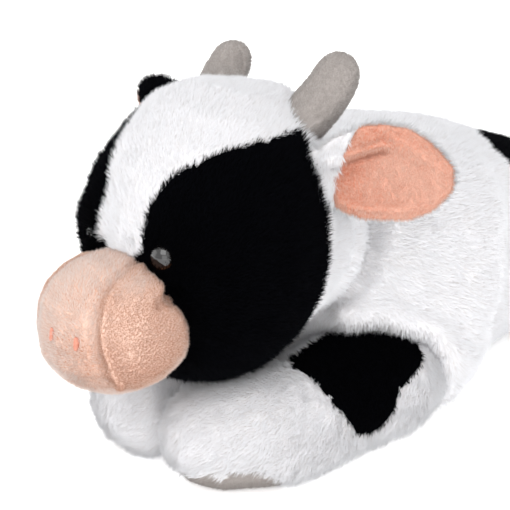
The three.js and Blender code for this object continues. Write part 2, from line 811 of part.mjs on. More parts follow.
// The prism across the leg that parts the black patch from the white cover.
function forelegPatchPrism(side, grow) {
  const prism = blobPrism({
    shares: forelegPatchOutlineShares,
    halfWidth: forelegPatchHalfLength,
    halfLength: forelegPatchHalfHeight,
    grow,
    depth: overrun,
  });
  const rearwards = new THREE.Vector3(0, 1, 0);
  prism.applyMatrix4(new THREE.Matrix4().makeBasis(rearwards, up, new THREE.Vector3(1, 0, 0)));
  const start = side > 0 ? -forelegPatchInside - grow : forelegPatchInside + grow - overrun;
  return solidOf(prism.translate(start, -forelegPatchForward, forelegPatchRise));
}

function legPieces({ name, shape, pivot, side, sole, patched }) {
  const floor = belowFloor(-shape.floorUnder);
  const shell = cut(legForm(shape, 0), legForm(shape, coverThickness), floor);
  const group = new THREE.Group();
  let cover = cut(shell, solePrism(shape, side, sole, seamGap));
  if (patched) {
    group.add(piece(`${name}_patch`, cover.intersect(forelegPatchPrism(side, 0)), black));
    cover = cut(cover, forelegPatchPrism(side, seamGap));
  }
  group.add(
    piece(`${name}_cover`, cover, white),
    piece(`${name}_sole`, shell.intersect(solePrism(shape, side, sole, 0)), grey),
    piece(`${name}_filling`, cut(legForm(shape, coverThickness + seamGap), floor), fibre),
  );
  group.position.copy(pivot);
  return group;
}

function shoulderPivot(side) {
  return new THREE.Vector3((side * shoulderSpacing) / 2, -shoulderForward, forelegRadius - floorCut);
}

function hipPivot(side) {
  return new THREE.Vector3((side * hipSpacing) / 2, trunkRear - hipBeforeRump, hindlegRadius - floorCut);
}

// How much wider a coarse swept form is made, so that its facets stay outside the fine one.
function facetAllowance(radius, sides) {
  return radius / Math.cos(Math.PI / sides) - radius;
}

// The space that a leg needs as it swings about its pivot: the socket, and the leg's sweep past it.
function legSpace({ spine, radii }, pivot, angles) {
  const wider = motionGap + facetAllowance(radii[0], sweptSides);
  const swept = angles.map((angle) => {
    const form = stuffed({
      spine,
      widths: [radii[0] + seamGap, ...radii.slice(1).map((radius) => radius + wider)],
      heights: [radii[0] + seamGap, ...radii.slice(1).map((radius) => radius + wider)],
      caps: [0, radii.at(-1)],
      capRings: [1, smallCapRings],
      middleRings: limbMiddleRings,
      sides: sweptSides,
    });
    return solidOf(form.rotateZ(degrees(angle)).translate(pivot.x, pivot.y, pivot.z));
  });
  return join(socket(radii[0], pivot), ...swept);
}

// The space behind the head, wide enough for it to nod and turn about the neck.
function headSweep() {
  const widest = degrees(Math.max(neckTurnDegrees, nodUpDegrees, nodDownDegrees));
  const swing = headOffset.length() * Math.sin(widest);
  const form = headForm(-motionGap - swing).translate(headOffset.x, headOffset.y, headOffset.z);
  form.rotateZ(-degrees(headLookingRightDegrees));
  return solidOf(form.translate(neckPivot.x, neckPivot.y, neckPivot.z));
}

function tailRoot() {
  return new THREE.Vector3(0, trunkRear - tailRootInRump, tailRootHeight);
}

function backPatchPrism(grow) {
  const prism = blobPrism({
    shares: backPatchOutlineShares,
    halfWidth: backPatchHalfWidth,
    halfLength: backPatchHalfLength,
    grow,
    depth: shoulderHeight,
  });
  return solidOf(prism.translate(0, trunkRear - backPatchBeforeRump, rumpHeight / 2));
}

function trunkPieces() {
  const spaces = [headSweep(), socket(neckRadius, neckPivot), tailSpace()];
  [1, -1].forEach((side) => {
    const foreAngles = [-side * legInDegrees, side * legOutDegrees];
    spaces.push(legSpace(forelegShape(side), shoulderPivot(side), foreAngles));
    const hindAngles = [hindlegSwingDegrees, -hindlegSwingDegrees];
    spaces.push(legSpace(hindlegShape(side), hipPivot(side), hindAngles));
  });
  const floor = belowFloor(0);
  const shell = cut(solidOf(trunkForm(0)), solidOf(trunkForm(coverThickness)), floor, ...spaces);
  const filling = cut(solidOf(trunkForm(coverThickness + seamGap)), floor, ...spaces);
  const group = new THREE.Group();
  group.add(
    piece('body_cover', cut(shell, backPatchPrism(seamGap)), white),
    piece('back_patch', shell.intersect(backPatchPrism(0)), black),
    piece('body_filling', filling, fibre),
    piece('neck_filling', ball(neckRadius, neckPivot), white),
  );
  return group;
}

function tailCord(inset) {
  return stuffed({
    spine: new THREE.CatmullRomCurve3([
      new THREE.Vector3(0, 0, 0),
      new THREE.Vector3(0, tailReachBack * tailLevelShares[0], -tailDrop * tailLevelShares[1]),
      new THREE.Vector3(0, tailReachBack, -tailDrop),
    ]),
    widths: [tailRootRadius, tailRadius, tailRadius],
    heights: [tailRootRadius, tailRadius, tailRadius],
    caps: [tailRootRadius, tailRadius],
    capRings: [smallCapRings, smallCapRings],
    middleRings: smallCapRings,
    sides: smallSides,
    reach: tailRootRadius,
    inset,
  });
}

// The space that the tail's root needs as it swings from side to side.
function tailSpace() {
  const root = tailRoot();
  const swept = [-tailSwingDegrees, tailSwingDegrees].map((angle) => {
    const form = tailCord(-2 * seamGap).rotateY(degrees(angle));
    return solidOf(form.translate(root.x, root.y, root.z));
  });
  return join(...swept);
}

function tailTuft() {
  const top = new THREE.Vector3(0, tailReachBack, tuftOverlap - tailDrop);
  const bottom = new THREE.Vector3(0, tailReachBack + tailRadius, tuftOverlap - tailDrop - tuftLength);
  return stuffed({
    spine: new THREE.LineCurve3(top, bottom),
    widths: [tuftRadius, tuftRadius, tuftRadius / 2],
    heights: [tuftRadius, tuftRadius, tuftRadius / 2],
    caps: [tuftLength / 2, tuftLength / 2],
    capRings: [smallCapRings, smallCapRings],
    sides: smallSides,
  });
}

function tailPieces() {
  const group = new THREE.Group();
  group.add(
    piece('tail_cord', solidOf(tailCord(0)), white),
    piece('tail_tuft', cut(solidOf(tailTuft()), solidOf(tailCord(-seamGap))), black),
  );
  group.position.copy(tailRoot());
  return group;
}

function buildCow() {
  const cow = new THREE.Group();
  cow.add(trunkPieces(), headPieces(), tailPieces());
  [1, -1].forEach((side) => {
    cow.add(legPieces({
      name: `foreleg_${sideWord(side)}`,
      shape: forelegShape(side),
      pivot: shoulderPivot(side),
      side,
      sole: {
        setBack: foreSoleSetBack,
        tilt: foreSoleTiltDegrees,
        roll: foreSoleRollDegrees[sideWord(side)],
      },
      patched: side > 0,
    }));
    cow.add(legPieces({
      name: `hindleg_${sideWord(side)}`,
      shape: hindlegShape(side),
      pivot: hipPivot(side),
      side,
      sole: { setBack: 0, tilt: hindSoleTiltDegrees, roll: 0 },
      patched: false,
    }));
  });
  return cow;
}

export default buildCow();
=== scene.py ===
"""A lying plush cow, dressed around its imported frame.

Each sewn part becomes a soft skin that follows its CAD solids, is cut into the panels that the
real toy is made of, and grows its pile from a Geometry Nodes tree.
"""

import json
import logging
import math
from dataclasses import dataclass, replace
from enum import Enum

import bmesh
import bpy
import numpy as np
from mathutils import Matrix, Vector
from mathutils.bvhtree import BVHTree
from mathutils.noise import noise_vector

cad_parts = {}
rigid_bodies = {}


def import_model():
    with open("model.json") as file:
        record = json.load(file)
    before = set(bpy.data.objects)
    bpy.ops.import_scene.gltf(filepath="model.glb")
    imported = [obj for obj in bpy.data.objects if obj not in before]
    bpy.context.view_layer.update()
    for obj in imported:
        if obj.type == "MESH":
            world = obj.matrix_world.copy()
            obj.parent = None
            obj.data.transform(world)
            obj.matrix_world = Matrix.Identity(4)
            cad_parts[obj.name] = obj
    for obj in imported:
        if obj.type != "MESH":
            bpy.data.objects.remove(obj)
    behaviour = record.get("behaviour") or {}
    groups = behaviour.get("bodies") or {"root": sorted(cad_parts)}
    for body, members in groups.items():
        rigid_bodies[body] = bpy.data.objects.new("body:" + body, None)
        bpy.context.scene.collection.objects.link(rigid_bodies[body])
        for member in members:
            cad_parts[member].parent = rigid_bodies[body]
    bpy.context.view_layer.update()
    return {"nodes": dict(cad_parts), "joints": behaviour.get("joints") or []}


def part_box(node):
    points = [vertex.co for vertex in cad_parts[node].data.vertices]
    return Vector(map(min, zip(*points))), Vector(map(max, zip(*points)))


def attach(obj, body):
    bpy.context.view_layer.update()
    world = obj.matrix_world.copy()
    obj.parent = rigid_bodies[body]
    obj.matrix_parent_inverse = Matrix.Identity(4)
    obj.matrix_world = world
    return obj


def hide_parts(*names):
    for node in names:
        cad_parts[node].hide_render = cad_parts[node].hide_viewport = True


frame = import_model()

Array = np.ndarray
Mesh = bpy.types.Mesh
Object = bpy.types.Object
Material = bpy.types.Material
Socket = bpy.types.NodeSocket
Place = tuple[float, float, float]
Colour = tuple[float, float, float, float]

LOG = logging.getLogger("plush_cow")
MM = 0.001
FLOOR_CLEARANCE = 0.3 * MM
# Each part's random draws start at its own seed, and each panel's within it.
SEED_STEP = 1000
PANEL_SEED_STEP = 100


class Side(Enum):
    """The cow's own left (+X) and right (-X)."""

    LEFT = "left"
    RIGHT = "right"

    @property
    def sign(self) -> float:
        """+1 on the left, -1 on the right."""
        return 1.0 if self is Side.LEFT else -1.0


# Node trees

# The colour sockets of a Mix node share their names with its number sockets.
MIX_FIRST, MIX_SECOND, MIX_RESULT = 6, 7, 2


class Bench:
    """A node tree, with short ways to add its nodes and feed their sockets."""

    def __init__(self, tree: bpy.types.NodeTree) -> None:
        """Takes up a tree."""
        self.tree = tree

    def add(
        self, kind: str, inputs: dict[str | int, object] | None = None, **settings: object
    ) -> bpy.types.Node:
        """Adds a node.

        Args:
            kind: The node's type.
            inputs: What its sockets get, by name or number.
            **settings: Its properties, set before its sockets.

        Returns:
            The node.
        """
        node = self.tree.nodes.new(kind)
        for key, value in settings.items():
            setattr(node, key, value)
        for key, value in (inputs or {}).items():
            self.feed(node.inputs[key], value)
        return node

    def feed(self, socket: Socket, value: object) -> None:
        """Joins a socket to another, or sets its value.

        Args:
            socket: The socket.
            value: The other socket, or the value.
        """
        if isinstance(value, Socket):
            self.tree.links.new(value, socket)
        else:
            socket.default_value = value


class MaterialBench(Bench):
    """A material's node tree round its one shader."""

    def __init__(self, name: str) -> None:
        """Makes the material with its shader and output.

        Args:
            name: The material's name.
        """
        self.material = bpy.data.materials.new(name)
        self.material.use_nodes = True
        super().__init__(self.material.node_tree)
        self.shader = self.tree.nodes["Principled BSDF"]

    def attribute(self, name: str) -> Socket:
        """A float attribute of the mesh."""
        return self.add("ShaderNodeAttribute", attribute_name=name).outputs["Fac"]

    def noise(self, scale: float, detail: float = 3.0) -> Socket:
        """A noise over Object coordinates, 0 to 1."""
        place = self.add("ShaderNodeTexCoord").outputs["Object"]
        return self.add(
            "ShaderNodeTexNoise", {"Scale": scale, "Detail": detail, "Vector": place}
        ).outputs["Fac"]

    def mix(self, share: Socket, first: Colour | Socket, second: Colour | Socket) -> Socket:
        """A colour between two colours."""
        inputs = {"Factor": share, MIX_FIRST: first, MIX_SECOND: second}
        return self.add("ShaderNodeMix", inputs, data_type="RGBA").outputs[MIX_RESULT]

    def stretched(self, source: Socket, low: float, high: float) -> Socket:
        """Maps low..high of a value to 0..1 and clamps it."""
        inputs = {"Value": source, "From Min": low, "From Max": high}
        return self.add("ShaderNodeMapRange", inputs).outputs["Result"]

    def bump(self, height: Socket, strength: float, distance: float) -> None:
        """Drives the shader's normal from a height."""
        inputs = {"Height": height, "Strength": strength, "Distance": distance}
        self.feed(self.shader.inputs["Normal"], self.add("ShaderNodeBump", inputs).outputs[0])

    def finished(self, **values: Colour | Socket | float) -> Material:
        """Feeds the shader's own sockets.

        Args:
            **values: What they get; an underscore stands for a space of the name.

        Returns:
            The material.
        """
        for key, value in values.items():
            self.feed(self.shader.inputs[key.replace("_", " ")], value)
        return self.material


# Finishes


def linear(red: int, green: int, blue: int) -> Colour:
    """Turns a colour as written on screen into the shader's linear one.

    Args:
        red: Red, 0 to 255.
        green: Green, 0 to 255.
        blue: Blue, 0 to 255.

    Returns:
        The linear colour with full alpha.
    """
    shares = [level / 255 for level in (red, green, blue)]
    return *(
        share / 12.92 if share <= 0.04045 else ((share + 0.055) / 1.055) ** 2.4
        for share in shares
    ), 1.0


@dataclass(frozen=True)
class PileFinish:
    """A pile fabric: its backing cloth and the strands that stand on it.

    Attributes:
        name: The name its two materials are built from.
        root: The strands' colour at the cloth.
        tip: Their colour at the tip.
        deep: The colour of what lies in shade between them.
        roughness: How rough both are.
        shine: How strongly both reflect.
    """

    name: str
    root: Colour
    tip: Colour
    deep: Colour
    roughness: float = 0.9
    shine: float = 0.1

    def backing(self) -> Material:
        """The cloth under the strands, its ground pile mottled with painted shade.

        Returns:
            The material.
        """
        bench = MaterialBench(f"{self.name}_backing")
        ground = bench.stretched(bench.noise(scale=900, detail=4), low=0.3, high=0.7)
        drift = bench.stretched(bench.noise(scale=28), low=0.35, high=0.65)
        # Mottled towards the deep colour: painted shade between the strands.
        tone = bench.mix(ground, self.deep, self.root)
        bench.bump(bench.noise(scale=1400, detail=3), strength=0.5, distance=0.0012)
        return bench.finished(
            Base_Color=bench.mix(drift, tone, self.root),
            Roughness=self.roughness, Specular_IOR_Level=self.shine,
        )

    def strands(self) -> Material:
        """The strands: darker at the root, each a little different; the darker root is painted
        shade.

        Returns:
            The material.
        """
        bench = MaterialBench(f"{self.name}_strands")
        along = bench.stretched(bench.attribute("along"), low=0.0, high=0.75)
        whole = bench.mix(along, self.root, self.tip)
        # Strands dimmed by chance and by painted shade go towards the deep colour, which is
        # painted shade.
        shade_paint = bench.mix(along, self.deep, self.root)
        return bench.finished(
            Base_Color=bench.mix(bench.attribute("shade"), shade_paint, whole),
            Roughness=self.roughness, Specular_IOR_Level=self.shine,
        )


@dataclass(frozen=True)
class EyeFinish:
    """A glossy safety eye: black pupil in a very dark brown iris."""

    name: str
    pupil: Colour
    iris: Colour

    def material(self) -> Material:
        """Its colours run outwards by the piece's own attribute; the brown is painted light at the
        lower rim.

        Returns:
            The material.
        """
        bench = MaterialBench(self.name)
        ring = bench.stretched(bench.attribute("lit_iris"), low=0.62, high=0.95)
        grain = bench.mix(bench.noise(scale=1800, detail=2), self.iris, self.pupil)
        bench.bump(bench.noise(scale=160, detail=1), strength=0.05, distance=0.0004)
        return bench.finished(
            Base_Color=bench.mix(ring, self.pupil, grain), Roughness=0.08,
            Specular_IOR_Level=0.4, Coat_Weight=0.8, Coat_Roughness=0.05,
        )


@dataclass(frozen=True)
class PlasticFinish:
    """A moulded white locking washer with fine tool marks."""

    name: str
    body: Colour
    mark: Colour

    def material(self) -> Material:
        """Moulded plastic.

        Returns:
            The material.
        """
        bench = MaterialBench(self.name)
        wear = bench.stretched(bench.noise(scale=400, detail=3), low=0.4, high=0.7)
        bench.bump(bench.noise(scale=900, detail=2), strength=0.2, distance=0.0002)
        return bench.finished(Base_Color=bench.mix(wear, self.body, self.mark), Roughness=0.45)


@dataclass(frozen=True)
class FloorFinish:
    """A plain pale floor that shows white behind the object."""

    name: str
    paper: Colour
    glow: float

    def material(self) -> Material:
        """Paper that glows a little."""
        return MaterialBench(self.name).finished(
            Base_Color=self.paper, Roughness=0.9, Emission_Color=self.paper,
            Emission_Strength=self.glow,
        )


# Each pile's deep colour and darker root are painted shade: between strands, in folds and on
# shaded sides.
WHITE = PileFinish(
    "white_pile", linear(241, 240, 243), linear(246, 247, 250), linear(227, 222, 219)
)
BLACK = PileFinish("black_pile", linear(2, 2, 4), linear(6, 7, 11), linear(1, 1, 2), shine=0.03)
MUZZLE = PileFinish(
    "muzzle_pile", linear(223, 190, 173), linear(229, 216, 210), linear(174, 110, 78)
)
LINING = PileFinish(
    "lining_pile", linear(214, 166, 147), linear(222, 188, 172), linear(196, 108, 76)
)
GREY = PileFinish(
    "grey_pile", linear(164, 157, 153), linear(184, 178, 174), linear(138, 131, 127)
)
THREAD = PileFinish(
    "nostril_thread", linear(208, 146, 126), linear(214, 156, 138), linear(184, 116, 96),
    roughness=0.6, shine=0.3,
)
EYE_GLOSS = EyeFinish("eye_gloss", linear(9, 7, 7), linear(96, 62, 42))
WASHER = PlasticFinish("washer", linear(232, 230, 224), linear(214, 212, 206))
FLOOR = FloorFinish("studio_floor", linear(255, 255, 255), glow=0.4)

STRANDS: dict[str, Material] = {}
BACKINGS: dict[str, Material] = {}


def prepare_finishes() -> None:
    """Makes each pile's two materials once."""
    for finish in (WHITE, BLACK, MUZZLE, LINING, GREY, THREAD):
        STRANDS[finish.name] = finish.strands()
        BACKINGS[finish.name] = finish.backing()


# Meshes

VERTEX_SNAP = 1e-6
RELAX_IN, RELAX_OUT = 0.6, -0.62
SETTLE_ROUNDS = 3
OWN_VOTES = 1.5
SEAM_ROUNDS = 12
SEAM_SHARE = 0.5
BESIDE_ROUNDS = 4
BESIDE_SHARE = 0.2
PULL_ROUNDS = 3
PULL_KEPT = 0.999
PULL_SPREAD = 0.92


def column(source: bpy.types.bpy_prop_collection, key: str, width: int, kind: type) -> Array:
    """One property of many elements.

    Args:
        source: The elements.
        key: The property.
        width: How many numbers it has.
        kind: Their type.

    Returns:
        One row for each element, or one number where the width is 1.
    """
    flat = np.empty(len(source) * width, kind)
    source.foreach_get(key, flat)
    return flat if width == 1 else flat.reshape(-1, width)


def vertices_of(mesh: Mesh) -> Array:
    """The vertex positions of a mesh, one row each."""
    return column(mesh.vertices, "co", 3, np.float64)


def normals_of(mesh: Mesh) -> Array:
    """The vertex normals of a mesh, one row each."""
    return column(mesh.vertex_normals, "vector", 3, np.float32).astype(np.float64)


def edges_of(mesh: Mesh) -> Array:
    """The vertex pairs of a mesh's edges."""
    return column(mesh.edges, "vertices", 2, np.int32)


def centres_of(mesh: Mesh) -> Array:
    """The middles of a mesh's faces, one row each."""
    return np.array([face.center for face in mesh.polygons])


def values_of(mesh: Mesh, name: str, width: int) -> Array:
    """A point attribute as an array, one row for each vertex."""
    key = "value" if width == 1 else "vector"
    return column(mesh.attributes[name].data, key, width, np.float32)


def put_vertices(mesh: Mesh, points: Array) -> None:
    """Moves the vertices of a mesh."""
    mesh.vertices.foreach_set("co", points.astype(np.float32).ravel())
    mesh.update()


def put_attribute(mesh: Mesh, name: str, kind: str, values: Array) -> None:
    """Writes a point attribute.

    Args:
        mesh: The mesh.
        name: The attribute's name.
        kind: FLOAT or FLOAT_VECTOR.
        values: One value for each vertex.
    """
    layer = mesh.attributes.get(name) or mesh.attributes.new(name, kind, "POINT")
    key = "value" if kind == "FLOAT" else "vector"
    layer.data.foreach_set(key, values.astype(np.float32).ravel())


def shaded_smooth(mesh: Mesh) -> None:
    """Shades every face smooth."""
    mesh.polygons.foreach_set("use_smooth", np.ones(len(mesh.polygons), bool))
    mesh.update()


def object_of(name: str, data: bpy.types.ID) -> Object:
    """Links a new object for a mesh, a camera or a lamp.

    Args:
        name: The object's name.
        data: What it shows.

    Returns:
        The object.
    """
    made = bpy.data.objects.new(name, data)
    bpy.context.scene.collection.objects.link(made)
    return made


def piece_of(name: str, mesh: Mesh, material: Material | None = None) -> Object:
    """A piece whose mesh has its name.

    Args:
        name: The piece's name.
        mesh: Its mesh.
        material: What it is dressed in, or None where the mesh brings its material.

    Returns:
        The piece.
    """
    mesh.name = name
    if material is not None:
        mesh.materials.clear()
        mesh.materials.append(material)
    return object_of(name, mesh)


def hand_over(piece: Object, body: str) -> None:
    """Rides a piece on its body and reports it.

    Args:
        piece: The piece.
        body: The CAD body.
    """
    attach(piece, body)
    LOG.info("%s: %d faces on %s", piece.name, len(piece.data.polygons), body)


def solids(nodes: tuple[str, ...]) -> bmesh.types.BMesh:
    """Copies of some CAD solids in one editable mesh.

    Args:
        nodes: Their names.

    Returns:
        The editable mesh.
    """
    work = bmesh.new()
    for node in nodes:
        work.from_mesh(frame["nodes"][node].data)
    return work


def closed_up(work: bmesh.types.BMesh, name: str) -> Mesh:
    """Turns an editable mesh into a plain one.

    Args:
        work: The editable mesh, used up.
        name: The new mesh's name.

    Returns:
        The plain mesh.
    """
    mesh = bpy.data.meshes.new(name)
    work.to_mesh(mesh)
    work.free()
    return mesh


def without(mesh: Mesh, doomed: Array, kind: str) -> Mesh:
    """A copy of a mesh with some of it left out.

    Args:
        mesh: The mesh.
        doomed: True for each vertex or face to leave out.
        kind: VERTS or FACES.

    Returns:
        The copy.
    """
    work = bmesh.new()
    work.from_mesh(mesh)
    elements = work.verts if kind == "VERTS" else work.faces
    elements.ensure_lookup_table()
    chosen = [elements[int(index)] for index in np.flatnonzero(doomed)]
    bmesh.ops.delete(work, geom=chosen, context=kind)
    return closed_up(work, "part")


def modified(
    mesh: Mesh, kind: str, inputs: dict[str, object] | None = None, **settings: object
) -> Mesh:
    """Applies one modifier.

    Args:
        mesh: The mesh, used up.
        kind: The modifier's type.
        inputs: What its node tree's sockets get, by their identifiers.
        **settings: Its properties, set before the sockets.

    Returns:
        The result as a plain mesh.
    """
    helper = object_of("helper", mesh)
    modifier = helper.modifiers.new("modifier", kind)
    for key, value in settings.items():
        setattr(modifier, key, value)
    for key, value in (inputs or {}).items():
        modifier[key] = value
    graph = bpy.context.evaluated_depsgraph_get()
    done = bpy.data.meshes.new_from_object(
        helper.evaluated_get(graph), preserve_all_data_layers=True, depsgraph=graph
    )
    bpy.data.objects.remove(helper)
    bpy.data.meshes.remove(mesh)
    return done


def unit(rows: Array) -> Array:
    """Each row at length one."""
    return rows / np.maximum(np.linalg.norm(rows, axis=1, keepdims=True), 1e-12)


def tangent(rows: Array, normals: Array) -> Array:
    """Each row with its share along the normal taken out, at length one."""
    return unit(rows - normals * np.sum(rows * normals, axis=1, keepdims=True))


def metres(places: tuple[Place, ...]) -> Array:
    """Places written in millimetres as rows in metres."""
    return np.array(places, float).reshape(-1, 3) * MM


def offsets(places: tuple[Place, ...], points: Array) -> Array:
    """The way from a line to each point.

    Args:
        places: The line, in millimetres.
        points: The points.

    Returns:
        One row from the line's nearest place to each point.
    """
    line = metres(places)
    best = np.full((len(points), 3), 1.0)
    for start, end in zip(line, line[1:]):
        run = end - start
        share = np.clip((points - start) @ run / (run @ run), 0, 1)
        off = points - start - share[:, None] * run
        nearer = np.linalg.norm(off, axis=1) < np.linalg.norm(best, axis=1)
        best[nearer] = off[nearer]
    return best


def distances(places: tuple[Place, ...], points: Array) -> Array:
    """How far each point is from a line written in millimetres."""
    return np.linalg.norm(offsets(places, points), axis=1)


def neighbour_mean(points: Array, edges: Array) -> Array:
    """The mean of each vertex's neighbours.

    Args:
        points: One row for each vertex.
        edges: Vertex pairs.

    Returns:
        One row for each vertex.
    """
    count = len(points)
    ends = np.concatenate([edges[:, 0], edges[:, 1]])
    others = np.concatenate([edges[:, 1], edges[:, 0]])
    number = np.maximum(np.bincount(ends, minlength=count), 1)
    columns = [
        np.bincount(ends, weights=points[others, axis], minlength=count) / number
        for axis in range(points.shape[1])
    ]
    return np.stack(columns, axis=1)


def relaxed(points: Array, edges: Array, rounds: int) -> Array:
    """Smooths facets away without shrinking the form.

    Args:
        points: The vertices.
        edges: Vertex pairs.
        rounds: How many pairs of a step in and a step out.

    Returns:
        The moved vertices.
    """
    for _ in range(rounds):
        for step in (RELAX_IN, RELAX_OUT):
            points = points + step * (neighbour_mean(points, edges) - points)
    return points


def tree_of(mesh: Mesh) -> BVHTree:
    """A search tree over a mesh's faces."""
    corners = [tuple(vertex.co) for vertex in mesh.vertices]
    return BVHTree.FromPolygons(corners, [tuple(face.vertices) for face in mesh.polygons])


def depth_under(points: Array, nodes: tuple[str, ...]) -> Array:
    """How far each point lies outside some solids, negative inside them.

    Args:
        points: The points.
        nodes: The solids' CAD nodes, taken as one.

    Returns:
        One signed distance for each point.
    """
    whole = solids(nodes)
    tree = BVHTree.FromBMesh(whole)
    whole.free()
    found = np.empty(len(points))
    for index, point in enumerate(points):
        place, normal, _, gap = tree.find_nearest(Vector(point))
        found[index] = math.copysign(gap, (Vector(point) - place).dot(normal))
    return found


def largest_island(mesh: Mesh) -> Mesh:
    """Keeps a mesh's largest connected surface.

    Args:
        mesh: A mesh that may have several islands, used up.

    Returns:
        The mesh without the others.
    """
    edges = edges_of(mesh)
    label = np.arange(len(mesh.vertices))
    while True:
        before = label.copy()
        low = np.minimum(label[edges[:, 0]], label[edges[:, 1]])
        np.minimum.at(label, edges[:, 0], low)
        np.minimum.at(label, edges[:, 1], low)
        label = label[label]
        if np.array_equal(before, label):
            break
    names, counts = np.unique(label, return_counts=True)
    if len(names) == 1:
        return mesh
    kept = without(mesh, label != names[np.argmax(counts)], "VERTS")
    bpy.data.meshes.remove(mesh)
    return kept


def face_pairs(mesh: Mesh) -> Array:
    """Pairs of faces that share an edge.

    Args:
        mesh: The mesh.

    Returns:
        One pair of face numbers in each row.
    """
    seen: dict[tuple[int, int], int] = {}
    pairs = []
    for face in mesh.polygons:
        for key in face.edge_keys:
            if key in seen:
                pairs.append((seen[key], face.index))
            else:
                seen[key] = face.index
    return np.array(pairs, np.int32)


def settled(mesh: Mesh, labels: Array) -> Array:
    """Gives each face the label most of its neighbours have.

    Args:
        mesh: The skin.
        labels: A panel number for each face.

    Returns:
        The labels with stray faces gone.
    """
    pairs = face_pairs(mesh)
    kinds = int(labels.max()) + 1
    for _ in range(SETTLE_ROUNDS):
        votes = np.zeros((len(labels), kinds))
        votes[np.arange(len(labels)), labels] += OWN_VOTES
        np.add.at(votes, (pairs[:, 0], labels[pairs[:, 1]]), 1)
        np.add.at(votes, (pairs[:, 1], labels[pairs[:, 0]]), 1)
        labels = votes.argmax(axis=1)
    return labels


def frayed(mesh: Mesh, labels: Array, reach: float, tuft: float) -> Array:
    """Lets tufts of one panel's pile stray over its seam.

    Args:
        mesh: The skin.
        labels: A panel number for each face.
        reach: How far tufts stray.
        tuft: How wide a tuft is.

    Returns:
        The panel whose pile each face grows.
    """
    tree = tree_of(mesh)
    found = labels.copy()
    for face in mesh.polygons:
        stray = noise_vector(face.center / tuft) * reach
        found[face.index] = labels[tree.find_nearest(face.center + stray)[2]]
    return found


def seam_vertices(mesh: Mesh, labels: Array) -> Array:
    """The vertices on a seam between two panels.

    Args:
        mesh: The skin.
        labels: Its faces' panels.

    Returns:
        True for each of them.
    """
    low = np.full(len(mesh.vertices), labels.max() + 1)
    high = np.full(len(mesh.vertices), -1)
    for face, label in zip(mesh.polygons, labels):
        for vertex in face.vertices:
            low[vertex] = min(low[vertex], label)
            high[vertex] = max(high[vertex], label)
    return low != high


def seams_drawn(mesh: Mesh, labels: Array, depth: float) -> None:
    """Straightens the seam lines and draws them into the stuffing.

    Args:
        mesh: The skin, changed in place.
        labels: Its faces' panels.
        depth: How far the seam lies below the skin.
    """
    seam = seam_vertices(mesh, labels)
    if not seam.any():
        return
    points, edges = vertices_of(mesh), edges_of(mesh)
    along = edges[seam[edges[:, 0]] & seam[edges[:, 1]]]
    for chosen, lines, share, rounds in (
        (seam, along, SEAM_SHARE, SEAM_ROUNDS), (~seam, edges, BESIDE_SHARE, BESIDE_ROUNDS)
    ):
        for _ in range(rounds):
            moved = neighbour_mean(points, lines)
            points[chosen] = points[chosen] * (1 - share) + moved[chosen] * share
    put_vertices(mesh, points)
    pull = seam.astype(float)[:, None]
    for _ in range(PULL_ROUNDS):
        pull = np.maximum(pull * PULL_KEPT, neighbour_mean(pull, edges) * PULL_SPREAD)
    put_vertices(mesh, points - normals_of(mesh) * depth * pull**2)


# Folds, swellings and forms


@dataclass(frozen=True)
class Crease:
    """A fold or seam drawn into the stuffing along a line, with painted shade along it.

    Attributes:
        places: The line, in millimetres.
        depth: How deep it lies, in millimetres.
        width: How wide it is, in millimetres.
        toward: The side of the line that rolls up.
        lip: How high that side rolls up, in millimetres.
        tone: How much painted shade darkens the pile in the line.
        beyond: How much painted shade darkens the pile on the rolled side.
        way: The way the fabric moves; along its normal if not given.
        lip_place: Where the lip is highest, in widths from the line.
        lip_spread: How broad the lip is, in widths.
        shade_reach: How far the painted shade on the rolled side reaches, in millimetres.
        turn: How quickly the rolled side begins round an end of the line.
    """

    places: tuple[Place, ...]
    depth: float
    width: float
    toward: Place = (0.0, 0.0, 1.0)
    lip: float = 0.0
    tone: float = 0.3
    beyond: float = 0.0
    way: Place | None = None
    lip_place: float = 1.7
    lip_spread: float = 0.9
    shade_reach: float = 30.0
    turn: float = 1.6

    def shares(self, points: Array) -> tuple[Array, Array]:
        """How each point lies to the line.

        Args:
            points: The points.

        Returns:
            Their distances in widths, and how much each is on the rolled side.
        """
        off = offsets(self.places, points)
        gap = np.linalg.norm(off, axis=1)
        side = off @ unit(np.array([self.toward]))[0] / np.maximum(gap, 1e-6)
        return gap / (self.width * MM), np.clip(side * self.turn, 0, 1)

    def moved(self, points: Array, normals: Array) -> Array:
        """The points with the fold drawn in.

        Args:
            points: The skin's vertices.
            normals: Their normals.

        Returns:
            The moved vertices.
        """
        gap, side = self.shares(points)
        rise = -self.depth * np.exp(-(gap**2))
        rise += self.lip * side * np.exp(-(((gap - self.lip_place) / self.lip_spread) ** 2))
        ways = normals if self.way is None else np.array([self.way])
        return points + ways * rise[:, None] * MM

    def dulled(self, points: Array) -> Array:
        """How much painted shade darkens the pile.

        Args:
            points: The skin's vertices.

        Returns:
            One value for each.
        """
        gap, side = self.shares(points)
        near = np.exp(-((gap * self.width / self.shade_reach) ** 4))
        return self.tone * np.exp(-(gap**2)) + self.beyond * side * near


